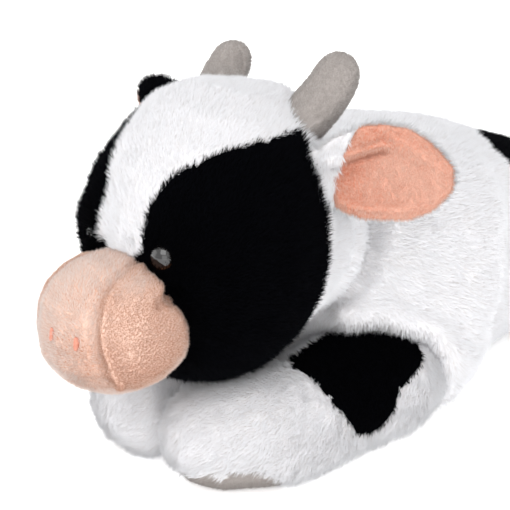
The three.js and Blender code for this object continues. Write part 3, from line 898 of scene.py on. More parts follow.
@dataclass(frozen=True)
class Swell:
    """A soft bulge, or a dent where the rise is negative, and the shade painted on its pile.

    Attributes:
        centre: Its middle, in millimetres.
        radii: Its reach along X, Y and Z, in millimetres.
        rise: How far it stands out, in millimetres.
        tone: How much painted shade darkens its pile; below 0 it is painted light.
        way: The way the fabric moves; along its normal if not given.
    """

    centre: Place
    radii: Place
    rise: float
    tone: float = 0.0
    way: Place | None = None

    def share(self, points: Array) -> Array:
        """1 in the middle, 0 far away."""
        away = (points / MM - np.array(self.centre)) / np.array(self.radii)
        return np.exp(-np.sum(away**2, axis=1))

    def moved(self, points: Array, normals: Array) -> Array:
        """The points with the bulge added."""
        ways = normals if self.way is None else np.array([self.way])
        return points + ways * self.share(points)[:, None] * self.rise * MM

    def dulled(self, points: Array) -> Array:
        """How much painted shade darkens the pile at each point; below 0, painted light."""
        return self.tone * self.share(points)


@dataclass(frozen=True)
class Claim:
    """A strip of the skin that belongs to a panel, whatever lies beneath.

    Attributes:
        places: The strip's middle line, in millimetres.
        radius: Its half width, in millimetres.
        panel: The panel's number.
    """

    places: tuple[Place, ...]
    radius: float
    panel: int

    def taken(self, centres: Array) -> Array:
        """Which faces lie in the strip."""
        return distances(self.places, centres) < self.radius * MM


@dataclass
class SoftForm:
    """A stuffed form grown from CAD solids: one closed smooth skin.

    Attributes:
        nodes: The CAD solids that make the form.
        panels: Those of them that are seen, each a panel of the skin.
        cell: The remesh size.
        rounds: Smoothing rounds.
        plump: How far the skin stands out over the solids.
        seam_depth: How far a seam between panels is drawn in.
        marks: Its creases and swells.
        claims: Strips whose panel is given.
    """

    nodes: tuple[str, ...]
    panels: tuple[str, ...]
    cell: float = 2.2 * MM
    rounds: int = 60
    plump: float = 1.4 * MM
    seam_depth: float = 1.0 * MM
    marks: tuple[Crease | Swell, ...] = ()
    claims: tuple[Claim, ...] = ()

    def remeshed(self) -> Mesh:
        """The solids as one closed surface of even cells.

        Returns:
            The largest closed island of the remesh.
        """
        whole = solids(self.nodes)
        bmesh.ops.remove_doubles(whole, verts=whole.verts, dist=VERTEX_SNAP)
        union = closed_up(whole, "union")
        return largest_island(modified(union, "REMESH", mode="VOXEL", voxel_size=self.cell))

    def skin(self) -> Mesh:
        """The smooth plump skin.

        Returns:
            A closed mesh with outward normals.
        """
        mesh = self.remeshed()
        points = relaxed(vertices_of(mesh), edges_of(mesh), self.rounds)
        put_vertices(mesh, points)
        put_vertices(mesh, points + normals_of(mesh) * self.plump)
        for mark in self.marks:
            put_vertices(mesh, mark.moved(vertices_of(mesh), normals_of(mesh)))
        put_vertices(mesh, off_the_floor(vertices_of(mesh)))
        return mesh

    def dulled(self, points: Array) -> Array:
        """How much painted shade darkens the pile at each point, from all marks; below 0, painted
        light.
        """
        return sum((mark.dulled(points) for mark in self.marks), np.zeros(len(points)))

    def labels(self, mesh: Mesh) -> Array:
        """Which panel each face belongs to.

        Args:
            mesh: The skin.

        Returns:
            The panel's number for each face.
        """
        found = np.zeros(len(mesh.polygons), np.int32)
        if len(self.panels) == 1:
            return found
        trees = [tree_of(frame["nodes"][node].data) for node in self.panels]
        for index, face in enumerate(mesh.polygons):
            found[index] = np.argmin([tree.find_nearest(face.center)[3] for tree in trees])
        centres = centres_of(mesh)
        for claim in self.claims:
            found[claim.taken(centres)] = claim.panel
        return settled(mesh, found)


def off_the_floor(points: Array) -> Array:
    """Lifts points that would be in the floor."""
    points[:, 2] = np.maximum(points[:, 2], FLOOR_CLEARANCE)
    return points


# Pile

FACING_LEAN = 0.6
TOUSLE_SPREAD = 2.0
STRAND_MOTTLE, PATCH_MOTTLE = 0.4, 0.9
LENGTH_RANGE = (0.7, 1.15)
SHADE_STEPS = 48
STRAND_CHART = (0.05, 0.95, 0.5)
CHART_MARGIN = 0.02


class Draw(Enum):
    """What is added to a pile's seed, to keep its random draws apart."""

    STRAY = 11
    SHADE = 23
    TWIST = 37
    LENGTH = 41


@dataclass(frozen=True)
class PileCut:
    """How a pile is cut: its strands' sizes, number and lie.

    Attributes:
        length: Strand length, in millimetres.
        width: Strand radius at the root, in millimetres.
        density: Strands per square metre.
        lean: How far strands lean along the nap, as a tangent.
        tousle: How strongly tufts turn their own way.
        tuft: The size of a tuft, in millimetres.
        fray: How much single strands stray from their tuft.
    """

    length: float
    width: float
    density: float
    lean: float
    tousle: float
    tuft: float
    fray: float

    def inputs(self) -> dict[str, float]:
        """The tree's inputs for the cut.

        Returns:
            Their values by name, in metres.
        """
        return {
            "Density": self.density,
            "Length": self.length * MM,
            "Root width": self.width * MM,
            "Lean": self.lean,
            "Tousle": self.tousle,
            "Tuft scale": 1 / (self.tuft * MM),
            "Fray": self.fray,
        }


LONG = PileCut(5.8, 0.25, 1.9e6, lean=1.0, tousle=1.1, tuft=7.0, fray=0.35)
BROAD = PileCut(5.4, 0.3, 1.1e6, lean=1.0, tousle=0.9, tuft=8.0, fray=0.35)
FINE = PileCut(4.3, 0.19, 2.4e6, lean=0.85, tousle=0.8, tuft=5.0, fray=0.4)
DARK = PileCut(4.6, 0.28, 1.4e6, lean=0.85, tousle=0.9, tuft=5.0, fray=0.4)
TRIM = PileCut(4.6, 0.19, 2.6e6, lean=0.9, tousle=0.9, tuft=6.0, fray=0.3)
SHORT = PileCut(2.0, 0.16, 2.9e6, lean=0.7, tousle=0.9, tuft=4.0, fray=0.4)
SOLE = PileCut(1.6, 0.2, 1.5e6, lean=0.7, tousle=0.7, tuft=3.0, fray=0.35)
NUBBY = PileCut(1.4, 0.24, 2.6e6, lean=0.3, tousle=1.6, tuft=1.7, fray=0.6)


class PileTree(Bench):
    """The Geometry Nodes tree that plants strands on a skin."""

    SIZES = ("Density", "Length", "Root width", "Lean", "Tousle", "Tuft scale", "Fray")
    # The Random Value node's sockets for least, most and result.
    RANDOM_SOCKETS = {"FLOAT": (2, 3, 1), "FLOAT_VECTOR": (0, 1, 0)}

    def __init__(self) -> None:
        """Builds the tree once; each pile sets its own inputs."""
        super().__init__(bpy.data.node_groups.new("pile", "GeometryNodeTree"))
        face = self.tree.interface
        for way in ("INPUT", "OUTPUT"):
            face.new_socket("Geometry", in_out=way, socket_type="NodeSocketGeometry")
        kinds = dict.fromkeys(self.SIZES, "Float") | {"Seed": "Int", "Material": "Material"}
        self.ids = {}
        for name, kind in kinds.items():
            socket = face.new_socket(name, in_out="INPUT", socket_type=f"NodeSocket{kind}")
            self.ids[name] = socket.identifier
        self.entry = self.add("NodeGroupInput")
        self.lay_out()

    def maths(self, operation: str, first: object, second: object) -> Socket:
        """A sum, a difference or a product of numbers."""
        inputs = {0: first, 1: second}
        return self.add("ShaderNodeMath", inputs, operation=operation).outputs[0]

    def vector(
        self, operation: str, first: object, second: object = None, scale: object = None
    ) -> Socket:
        """A vector operation.

        Args:
            operation: Its kind.
            first: The first vector.
            second: The second, where it takes two.
            scale: What it scales by, where it does.

        Returns:
            The result's socket.
        """
        inputs = {0: first, 1: second, "Scale": scale}
        given = {key: value for key, value in inputs.items() if value is not None}
        return self.add("ShaderNodeVectorMath", given, operation=operation).outputs[0]

    def position(self) -> Socket:
        """Where a point is."""
        return self.add("GeometryNodeInputPosition").outputs[0]

    def named(self, name: str, kind: str = "FLOAT") -> Socket:
        """A named attribute of the skin."""
        node = self.add("GeometryNodeInputNamedAttribute", {"Name": name}, data_type=kind)
        return node.outputs["Attribute"]

    def random(self, kind: str, low: float | Place, high: float | Place, draw: Draw) -> Socket:
        """A random value for each strand.

        Args:
            kind: FLOAT or FLOAT_VECTOR.
            low: The least.
            high: The most.
            draw: What it is for.

        Returns:
            The value's socket.
        """
        least, most, result = self.RANDOM_SOCKETS[kind]
        seed = self.maths("ADD", self.entry.outputs["Seed"], float(draw.value))
        inputs = {least: low, most: high, "Seed": seed}
        return self.add("FunctionNodeRandomValue", inputs, data_type=kind).outputs[result]

    def stored(self, geometry: Socket, name: str, kind: str, value: Socket) -> Socket:
        """Stores a value on the points of a geometry.

        Args:
            geometry: The geometry.
            name: The attribute's name.
            kind: FLOAT or FLOAT_VECTOR.
            value: The value.

        Returns:
            The geometry with the attribute.
        """
        inputs = {"Geometry": geometry, "Name": name, "Value": value}
        return self.add(
            "GeometryNodeStoreNamedAttribute", inputs, data_type=kind, domain="POINT"
        ).outputs["Geometry"]

    def strand(self) -> Socket:
        """One closed three-sided spike of height one, with its run stored.

        Returns:
            Its geometry.
        """
        sizes = {"Vertices": 3, "Radius Top": 0, "Radius Bottom": 1, "Depth": 1}
        cone = self.add("GeometryNodeMeshCone", sizes, fill_type="NGON").outputs["Mesh"]
        run = self.add("ShaderNodeSeparateXYZ", {0: self.position()}).outputs["Z"]
        return self.stored(cone, "along", "FLOAT", run)

    def direction(self, normal: Socket) -> Socket:
        """Where each strand points: normal, nap, tuft and stray together.

        Args:
            normal: The skin's normal.

        Returns:
            The direction at length one.
        """
        source = self.entry.outputs
        flow = self.named("flow", "FLOAT_VECTOR")
        nap = self.vector("SCALE", flow, scale=source["Lean"])
        noise = self.add(
            "ShaderNodeTexNoise",
            {"Detail": 2.0, "Scale": source["Tuft scale"], "Vector": self.position()},
            noise_dimensions="3D",
        )
        centred = self.vector("SUBTRACT", noise.outputs["Color"], (0.5, 0.5, 0.5))
        tousle = self.maths("MULTIPLY", source["Tousle"], TOUSLE_SPREAD)
        tuft = self.vector("SCALE", centred, scale=tousle)
        chance = self.random("FLOAT_VECTOR", (-1, -1, -1), (1, 1, 1), Draw.STRAY)
        stray = self.vector("SCALE", chance, scale=source["Fray"])
        lie = self.vector("ADD", normal, nap)
        turn = self.vector("ADD", tuft, stray)
        return self.vector("NORMALIZE", self.vector("ADD", lie, turn))

    def shade(self) -> Socket:
        """How bright each strand is: by chance, by patches, and by the skin's painted shade and
        light.

        Returns:
            The share of the full colour.
        """
        scale = self.entry.outputs["Tuft scale"]
        noise = self.add("ShaderNodeTexNoise", {"Scale": scale}, noise_dimensions="3D")
        chance = self.random("FLOAT", 0.0, 1.0, Draw.SHADE)
        single = self.maths("MULTIPLY", chance, STRAND_MOTTLE)
        patch = self.maths("MULTIPLY", noise.outputs["Fac"], PATCH_MOTTLE)
        return self.maths("SUBTRACT", self.maths("ADD", single, patch), self.named("shade_paint"))

    def turned(self, way: Socket) -> Socket:
        """Each strand's rotation: along its direction, with a twist by chance.

        Args:
            way: The direction.

        Returns:
            The rotation.
        """
        lean = self.add("FunctionNodeAlignRotationToVector", {"Vector": way}, axis="Z")
        angle = self.random("FLOAT", 0.0, 2 * math.pi, Draw.TWIST)
        twist = self.add("FunctionNodeAxisAngleToRotation", {"Axis": (0, 0, 1), "Angle": angle})
        inputs = {"Rotation": lean.outputs[0], "Rotate By": twist.outputs[0]}
        return self.add(
            "FunctionNodeRotateRotation", inputs, rotation_space="LOCAL"
        ).outputs[0]

    def lay_out(self) -> None:
        """Lays the tree out from the skin to the finished strands."""
        source = self.entry.outputs
        density = self.maths("MULTIPLY", source["Density"], self.named("thick"))
        inputs = {"Mesh": source["Geometry"], "Density": density, "Seed": source["Seed"]}
        spread = self.add("GeometryNodeDistributePointsOnFaces", inputs).outputs
        way = self.direction(spread["Normal"])
        lean = self.vector("SCALE", way, scale=FACING_LEAN)
        facing = self.vector("ADD", spread["Normal"], lean)
        points = self.stored(spread["Points"], "root_normal", "FLOAT_VECTOR", facing)
        points = self.stored(points, "shade", "FLOAT", self.shade())
        height = self.maths("MULTIPLY", source["Length"], self.named("tall"))
        chance = self.random("FLOAT", *LENGTH_RANGE, Draw.LENGTH)
        sizes = {"X": source["Root width"], "Y": source["Root width"]}
        sizes["Z"] = self.maths("MULTIPLY", height, chance)
        inputs = {
            "Points": points,
            "Instance": self.strand(),
            "Rotation": self.turned(way),
            "Scale": self.add("ShaderNodeCombineXYZ", sizes).outputs[0],
        }
        plants = self.add("GeometryNodeInstanceOnPoints", inputs).outputs[0]
        real = self.add("GeometryNodeRealizeInstances", {0: plants}).outputs[0]
        inputs = {"Geometry": real, "Material": source["Material"]}
        dressed = self.add("GeometryNodeSetMaterial", inputs).outputs[0]
        self.add("NodeGroupOutput", {0: dressed})

    def grown(self, host: Mesh, cut: PileCut, finish: PileFinish, seed: int) -> Mesh:
        """Grows a pile on a skin.

        Args:
            host: The skin with its flow, tall and thick attributes and its painted shade, used up.
            cut: The pile's cut.
            finish: Its colours.
            seed: The seed of its random draws.

        Returns:
            The strands as one plain mesh.
        """
        values = cut.inputs() | {"Seed": seed, "Material": STRANDS[finish.name]}
        inputs = {self.ids[name]: value for name, value in values.items()}
        mesh = modified(host, "NODES", inputs, node_group=self.tree)
        combed(mesh)
        return mesh


def combed(mesh: Mesh) -> None:
    """Keeps strands off the floor and shades them like the skin they stand on.

    Args:
        mesh: The strands, changed in place.
    """
    put_vertices(mesh, off_the_floor(vertices_of(mesh)))
    shaded_smooth(mesh)
    charted(mesh)
    mesh.normals_split_custom_set_from_vertices(unit(values_of(mesh, "root_normal", 3)))
    mesh.attributes.remove(mesh.attributes["root_normal"])


def charted(mesh: Mesh) -> None:
    """Lays the strands out by shade and run, so that one small chart serves them all.

    Args:
        mesh: The strands, changed in place.
    """
    corners = column(mesh.loops, "vertex_index", 1, np.int32)
    shade = np.clip(values_of(mesh, "shade", 1), 0, 1)[corners]
    along = values_of(mesh, "along", 1)[corners]
    step = np.floor(shade * (SHADE_STEPS - 1) + 0.5)
    across = np.array(STRAND_CHART)[np.arange(len(corners)) % len(STRAND_CHART)]
    upright = CHART_MARGIN + (1 - 2 * CHART_MARGIN) * along
    chart = np.stack([(step + across) / SHADE_STEPS, upright], axis=1)
    layer = mesh.uv_layers.new(name="OFBake")
    layer.uv.foreach_set("vector", chart.astype(np.float32).ravel())


# Sewn parts

COVERED = 1.2 * MM
TUFT = 4.5 * MM
TRUNK_MIDDLE = 0.035


def region_mask(centres: Array, region: str) -> Array:
    """Which faces lie in a region named by its words.

    Args:
        centres: Face centres.
        region: Words such as front_left, or nothing for all.

    Returns:
        True for each face in the region.
    """
    front, left = centres[:, 1] < TRUNK_MIDDLE, centres[:, 0] >= 0
    tests = {"front": front, "rear": ~front, "left": left, "right": ~left}
    mask = np.ones(len(centres), bool)
    for word in filter(None, region.split("_")):
        mask &= tests[word]
    return mask


@dataclass(frozen=True)
class Panel:
    """A panel of a sewn part: its CAD node, its finish and its cut."""

    node: str
    finish: PileFinish
    cut: PileCut
    regions: tuple[str, ...] = ("",)


@dataclass
class SewnPart:
    """A stuffed part of sewn panels that rides on one body.

    Attributes:
        body: The CAD body it rides on.
        form: How its skin follows the solids.
        panels: Its panels.
        fill: How tightly it is stuffed; not used.
        inside: CAD nodes that the first panel hides, such as the filling.
        under: CAD nodes of neighbours; where they cover it, no pile grows.
        bare: Places in millimetres, with a radius, that are kept clear of pile.
        nap: The way the pile lies.
        thickness: The backing fabric's thickness.
        stray: How far tufts stray over its seams.
        resting_share: How much pile stands where the part rests on the floor.
        resting_slope: How steeply down the skin faces there.
        clearing_edge: How sharply a clearing ends.
        cloth: Its surface, once it is built.
    """

    body: str
    form: SoftForm
    panels: tuple[Panel, ...]
    fill: float
    inside: tuple[str, ...] = ()
    under: tuple[str, ...] = ()
    bare: tuple[tuple[Place, float], ...] = ()
    nap: Place = (0.0, 1.0, 0.0)
    thickness: float = 1.2 * MM
    stray: float = 3.0 * MM
    resting_share: float = 0.2
    resting_slope: float = -0.8
    clearing_edge: float = 2.0
    cloth: BVHTree | None = None

    def flow(self, points: Array, normals: Array) -> Array:
        """The way the nap lies on the skin."""
        return tangent(np.tile(self.nap, (len(points), 1)), normals)

    def height(self, points: Array, normals: Array) -> Array:
        """How tall the pile stands, as a share of its length."""
        return np.ones(len(points))

    def labels(self, skin: Mesh) -> Array:
        """Which panel each face belongs to."""
        return self.form.labels(skin)

    def thick(self, points: Array, normals: Array) -> Array:
        """How densely the pile stands, from 0 to 1.

        Args:
            points: The skin's vertices.
            normals: Their normals.

        Returns:
            Little where the part rests on the floor, none where it is covered.
        """
        low = points[:, 2] < 2 * FLOOR_CLEARANCE
        share = np.where((normals[:, 2] < self.resting_slope) & low, self.resting_share, 1.0)
        for place, radius in self.bare:
            gap = np.linalg.norm(points - metres((place,)), axis=1)
            share = share * np.clip((gap / MM - radius) * self.clearing_edge, 0, 1)
        if self.under:
            share = share * (depth_under(points, self.under) > COVERED)
        return share

    def build(self, tree: PileTree, seed: int) -> None:
        """Makes the skin, its panels and their pile.

        Args:
            tree: The tree that grows the pile.
            seed: The seed of its random draws.
        """
        skin = self.form.skin()
        labels = self.labels(skin)
        seams_drawn(skin, labels, self.form.seam_depth)
        shaded_smooth(skin)
        self.cloth = tree_of(skin)
        points, normals = vertices_of(skin), normals_of(skin)
        put_attribute(skin, "flow", "FLOAT_VECTOR", self.flow(points, normals))
        put_attribute(skin, "tall", "FLOAT", self.height(points, normals))
        put_attribute(skin, "thick", "FLOAT", self.thick(points, normals))
        # Painted shade from the folds and swells; below 0, painted light.
        put_attribute(skin, "shade_paint", "FLOAT", self.form.dulled(points))
        grown = frayed(skin, labels, self.stray, TUFT)
        for number, panel in enumerate(self.panels):
            hidden = self.inside if number == 0 else ()
            self.cut_panel(skin, labels == number, panel, hidden)
            first = seed + PANEL_SEED_STEP * number
            self.grow_pile(skin, grown == number, panel, tree, first)

    def cut_panel(
        self, skin: Mesh, own: Array, panel: Panel, hidden: tuple[str, ...]
    ) -> None:
        """Cuts a panel out as a sheet with thickness and gives it its place in the frame.

        Args:
            skin: The whole skin.
            own: True for each of its faces that the panel has.
            panel: The panel.
            hidden: CAD nodes that it hides.
        """
        sheet = without(skin, ~own, "FACES")
        mesh = modified(sheet, "SOLIDIFY", thickness=self.thickness, offset=-1, use_rim=True)
        shaded_smooth(mesh)
        piece = piece_of(f"{panel.node}_skin", mesh, BACKINGS[panel.finish.name])
        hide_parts(panel.node, *hidden)
        hand_over(piece, self.body)

    def grow_pile(
        self, skin: Mesh, own: Array, panel: Panel, tree: PileTree, seed: int
    ) -> None:
        """Grows a panel's pile, one piece for each region of it.

        Args:
            skin: The whole skin.
            own: True for each of its faces that grows the panel's pile.
            panel: The panel.
            tree: The tree that grows the pile.
            seed: The first region's seed.
        """
        centres = centres_of(skin)
        for step, region in enumerate(panel.regions):
            part = without(skin, ~(own & region_mask(centres, region)), "FACES")
            mesh = tree.grown(part, panel.cut, panel.finish, seed + step)
            name = "_".join(filter(None, (panel.node, "pile", region)))
            hand_over(piece_of(name, mesh), self.body)


@dataclass
class Trunk(SewnPart):
    """The body or the neck.

    Attributes:
        nap: Towards the tail and down the sides.
        fall: The way the pile hangs at the flap's edge.
        fall_reach: How far from that edge it hangs.
    """

    nap: Place = (0.0, 1.0, -0.35)
    fall: Place = (0.0, -0.3, -1.0)
    fall_reach: float = 11 * MM

    def flow(self, points: Array, normals: Array) -> Array:
        """Along the nap, and down at the flap's edge.

        Args:
            points: The skin's vertices.
            normals: Their normals.

        Returns:
            The way the pile lies at each.
        """
        hang = np.zeros((len(points), 1))
        for side in Side:
            gap = distances(on_trunk(FLAP_EDGE, side), points) / self.fall_reach
            hang = np.maximum(hang, np.exp(-(gap**4))[:, None])
        ways = np.array([self.nap]) * (1 - hang) + np.array([self.fall]) * hang
        return tangent(ways, normals)


@dataclass
class Limb(SewnPart):
    """A leg, lying on the floor; its pile runs towards the toes."""

    nap: Place = (0.0, -1.0, -0.2)


@dataclass
class RootedPart(SewnPart):
    """A part whose pile runs away from a root point, such as a horn or the tail."""

    root: Place = (0.0, 0.0, 0.0)

    def flow(self, points: Array, normals: Array) -> Array:
        """Away from the root."""
        return tangent(points - np.array(self.root), normals)


@dataclass
class Head(RootedPart):
    """The head: crown with blaze, two face patches and the muzzle, all from the nose back."""

    root: Place = (-0.004, -0.262, 0.055)


@dataclass
class Ear(RootedPart):
    """A leaf-shaped ear whose lining faces one way and reaches the rim.

    Attributes:
        along: From the root to the tip.
        across: Over the ear, upwards.
        face: The way the lining looks.
        tuck: How far the lining starts from the root.
        slant: How much farther out it starts higher up.
        ruff: How much taller the pile is at the rolled root.
        ruff_reach: How far that goes.
        curl: How far the pile bends back over the rim.
        front_slope: How much the skin has to look the lining's way to count as its front.
    """

    along: Place = (1.0, 0.0, 0.0)
    across: Place = (0.0, 0.0, 1.0)
    face: Place = (0.0, -1.0, 0.0)
    tuck: float = 6.5 * MM
    slant: float = 0.45
    ruff: float = 0.4
    ruff_reach: float = 14 * MM
    curl: float = 0.25
    front_slope: float = 0.3

    def height(self, points: Array, normals: Array) -> Array:
        """Taller at the rolled root."""
        gap = np.linalg.norm(points - np.array(self.root), axis=1)
        return 1 + self.ruff * np.exp(-((gap / self.ruff_reach) ** 4))

    def labels(self, skin: Mesh) -> Array:
        """Lining where the skin looks forward, away from the rolled root.

        Args:
            skin: The ear's skin.

        Returns:
            1 for the lining's faces, 0 for the others.
        """
        centres = centres_of(skin) - np.array(self.root)
        looks = np.array([face.normal for face in skin.polygons]) @ np.array(self.face)
        run, rise = centres @ np.array(self.along), centres @ np.array(self.across)
        lined = (looks > 0.0) & (run > self.tuck + self.slant * np.maximum(rise, 0))
        return settled(skin, lined.astype(np.int32))

    def flow(self, points: Array, normals: Array) -> Array:
        """Down the lining, and on the outside away from the root and back over the rim.

        Args:
            points: The skin's vertices.
            normals: Their normals.

        Returns:
            The way the pile lies at each.
        """
        away = unit(points - np.array(self.root)) - self.curl * np.array(self.face)
        front = (normals @ np.array(self.face) > self.front_slope)[:, None]
        down = np.tile(-np.array(self.across), (len(points), 1))
        return tangent(np.where(front, down, away), normals)


# Folds and seams

# Places are in millimetres, read off the photograph on the sewn form.

MUZZLE_SEAM = (
    (8.0, -207.0, 130.0), (9.6, -218.0, 129.6), (10.6, -226.0, 129.0), (11.2, -233.4, 125.4),
    (12.9, -240.3, 119.4), (14.6, -244.6, 113.0), (15.5, -246.0, 105.8), (17.2, -246.2, 98.8),
    (18.4, -243.8, 90.8), (18.0, -238.0, 82.0),
)
MUZZLE_DART = (
    (26.0, -202.0, 117.6), (26.8, -207.0, 117.6), (27.6, -212.0, 117.2), (28.4, -216.5, 116.4),
)
PATCH_LAP = (
    (9.7, -205.0, 129.6), (13.9, -205.0, 128.3), (18.5, -204.6, 126.2), (22.0, -203.6, 122.6),
    (25.4, -203.8, 119.4), (27.4, -202.6, 116.0), (29.4, -200.0, 111.5), (30.6, -198.0, 106.5),
    (31.4, -196.5, 101.0),
)
PATCH_NOTCH = ((25.0, -207.5, 118.4), (26.5, -203.0, 117.6))
MUZZLE_EDGE = (
    (9.6, -211.8, 129.0), (17.4, -206.1, 126.2), (24.2, -209.0, 120.4), (28.0, -209.1, 115.5),
    (29.4, -204.6, 110.4), (27.7, -198.0, 100.0), (28.3, -195.2, 89.0), (20.0, -188.9, 73.9),
)
NECK_FOLD = (
    (41.3, -72.4, 121.1), (42.0, -77.1, 109.2), (43.2, -80.0, 99.7), (40.4, -84.3, 89.4),
    (33.8, -88.6, 78.7), (25.2, -90.5, 62.6),
)
FLAP_EDGE = (
    (26.8, -89.9, 57.3), (38.9, -86.6, 62.4), (47.6, -78.9, 63.3), (56.0, -74.0, 61.0),
    (62.7, -66.0, 57.0), (65.4, -58.3, 54.1), (68.8, -50.8, 37.8), (67.6, -54.4, 18.3),
)
FLANK_RECESS = (
    (74.0, 3.0, 92.0), (75.0, 6.0, 76.0), (72.0, 8.0, 60.0), (66.0, 10.0, 44.0),
    (58.0, 12.0, 30.0),
)
EAR_FOLD = (
    (56.5, -122.5, 165.0), (62.7, -118.8, 168.0), (67.5, -115.9, 170.4), (71.6, -113.5, 172.2),
    (76.3, -111.0, 174.0),
)
EAR_END = (-84.0, -70.0, 166.0)
END_WAY = (0.4, -0.7, -0.6)
EAR_WAYS = {
    Side.LEFT: ((0.857, 0.515, 0.035), (-0.154, 0.190, 0.970), (0.493, -0.836, 0.242)),
    Side.RIGHT: ((-0.651, 0.749, 0.122), (0.628, 0.622, -0.469), (-0.427, -0.229, -0.875)),
}
HORN_SEAMS = {
    Side.LEFT: (
        (40.6, -100.4, 210.4), (48.3, -101.7, 204.3), (48.7, -102.8, 196.7),
        (48.1, -109.7, 191.8), (46.0, -116.9, 187.7), (44.2, -120.7, 185.3),
    ),
    Side.RIGHT: (
        (-33.9, -90.6, 200.6), (-26.0, -93.7, 197.7), (-23.5, -94.4, 193.2), (-23.5, -96.7, 185.0),
    ),
}
TOE_SWELLS = {
    Side.LEFT: (Swell((48.0, -146.0, 12.0), (22.0, 26.0, 14.0), 2.5),),
    Side.RIGHT: (Swell((-28.0, -162.0, 12.0), (22.0, 18.0, 16.0), 7.0),),
}
EYE_CLEARINGS = {Side.LEFT: 5.4, Side.RIGHT: 3.0}
NOSTRIL_CLEARING = 2.1
NOSTRIL_RISES = (-1.8, 0.0, 1.8)
HEAD_MIDDLE: Place = (1.88, -149.8, 127.0)
HEAD_YAW = math.radians(-5)


def on_head(places: tuple[Place, ...], side: Side) -> tuple[Place, ...]:
    """Brings a line drawn on the head's left to one of its sides.

    Args:
        places: The line on the left.
        side: The wanted side.

    Returns:
        The line, mirrored across the turned head for the right.
    """
    if side is Side.LEFT:
        return places
    across = np.array([math.cos(HEAD_YAW), math.sin(HEAD_YAW), 0.0])
    line = np.array(places) - np.array(HEAD_MIDDLE)
    mirrored = line - 2 * (line @ across)[:, None] * across + np.array(HEAD_MIDDLE)
    return tuple(tuple(float(part) for part in row) for row in mirrored)


def on_trunk(places: tuple[Place, ...], side: Side) -> tuple[Place, ...]:
    """Brings a line drawn on the body's left to one of its sides."""
    return tuple((side.sign * x, y, z) for x, y, z in places)


def middle_of(node: str) -> Place:
    """The middle of a CAD node's box, in millimetres."""
    low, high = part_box(node)
    return tuple((Vector(low) + Vector(high)) / 2 / MM)


def muzzle_marks() -> tuple[Crease | Swell, ...]:
    """The muzzle's seams, darts and edge, the soft forms round them, and their painted shade and
    light.

    Returns:
        The marks, in the order in which they are drawn.
    """
    marks: list[Crease | Swell] = []
    # The seam on the left is drawn deeper and rolls up over the cheek.
    # Each line paints shade along it, and each seam also over the side lobe next to it.
    for side, share in ((Side.LEFT, 1.0), (Side.RIGHT, 0.0)):
        lines = (MUZZLE_SEAM, MUZZLE_DART, MUZZLE_EDGE)
        seam, dart, edge = (on_head(line, side) for line in lines)
        marks += [
            Crease(seam, 2.0 + share, 2.4, (side.sign, 0.0, -0.1), 2.4 * share, 0.5, 0.8),
            Crease(dart, 4.0, 3.0, (0.0, 0.0, 1.0), 1.6, 0.5),
            Crease(edge, 2.0, 3.0, (-side.sign, -1.0, 0.0), 1.0, 0.3),
        ]
    marks += [
        Swell(middle_of(f"nostril_{side.value}"), (4.0, 4.0, 5.0), -0.5) for side in Side
    ]
    marks += [
        # Painted light on the left lobe's top and on the front, painted shade on the lower lobe
        # and in the notch.
        Swell((17.0, -221.0, 125.0), (9.0, 12.0, 6.0), 1.2, -1.0),
        Swell((33.0, -212.0, 97.0), (14.0, 20.0, 16.0), 0.5, 0.5),
        Swell((25.5, -203.0, 118.2), (5.0, 6.0, 4.5), -3.5, 0.4),
        Swell((-40.0, -222.0, 108.0), (18.0, 34.0, 34.0), -5.0),
        Swell((-4.0, -242.0, 112.0), (18.0, 26.0, 28.0), 0.0, -0.8),
    ]
    return tuple(marks)


def torso_marks() -> tuple[Crease | Swell, ...]:
    """The body's folds: neck, shoulder flap, flank, and the shoulder's lobe, with painted shade in
    the folds.

    Returns:
        The marks, in the order in which they are drawn.
    """
    marks: list[Crease | Swell] = [Swell((-5, -24, 150), (34, 34, 18), -8.0)]
    for side in Side:
        sign = side.sign
        marks += [
            # Each fold also paints shade along its line.
            Crease(on_trunk(NECK_FOLD, side), 2.0, 7.0, (sign, 0.3, 0.0), 2.0, 0.2),
            Crease(on_trunk(FLAP_EDGE, side), 1.5, 5.0, (sign * 0.3, 0.3, 0.9), 3.0, 0.15),
            Crease(on_trunk(FLANK_RECESS, side), 9.0, 13.0, (sign, -1.0, 0.0), 2.0, 0.3),
            Swell((sign * 64, -42, 18), (22, 18, 20), 7.0),
            Swell((sign * 72, -4, 48), (16, 20, 30), -7.0),
            Swell((sign * 46, -100, 100), (12, 12, 22), 2.0),
        ]
    return tuple(marks)


def ear_marks(side: Side) -> tuple[Crease | Swell, ...]:
    """The folds of one ear, with painted shade in the left one's fold and a painted shadow below
    it.

    Args:
        side: The cow's side.

    Returns:
        The marks, in the order in which they are drawn.
    """
    if side is Side.RIGHT:
        return (Swell(EAR_END, (16.0, 16.0, 14.0), 9.0, way=END_WAY),)
    _, across, face = EAR_WAYS[side]
    return (
        # The fold paints shade along its line; the dent below it, a painted shadow.
        Crease(EAR_FOLD, 3.0, 2.0, across, 4.5, 1.0, way=face),
        Swell((50.0, -122.0, 174.0), (11.0, 10.0, 11.0), 9.0, way=(0.11, -0.89, 0.30)),
        Swell((61.0, -120.0, 163.5), (9.0, 8.0, 5.5), -1.5, 0.9, face),
        Swell((80.0, -119.0, 136.0), (26.0, 20.0, 14.0), 6.0, way=across),
    )


# Eyes and nostrils

# The iris's brown is painted only towards the eye's lower rim, the side that catches the light:
# painted light.
LIT_IRIS_LEVEL, LIT_IRIS_FALL = 0.45, 0.9


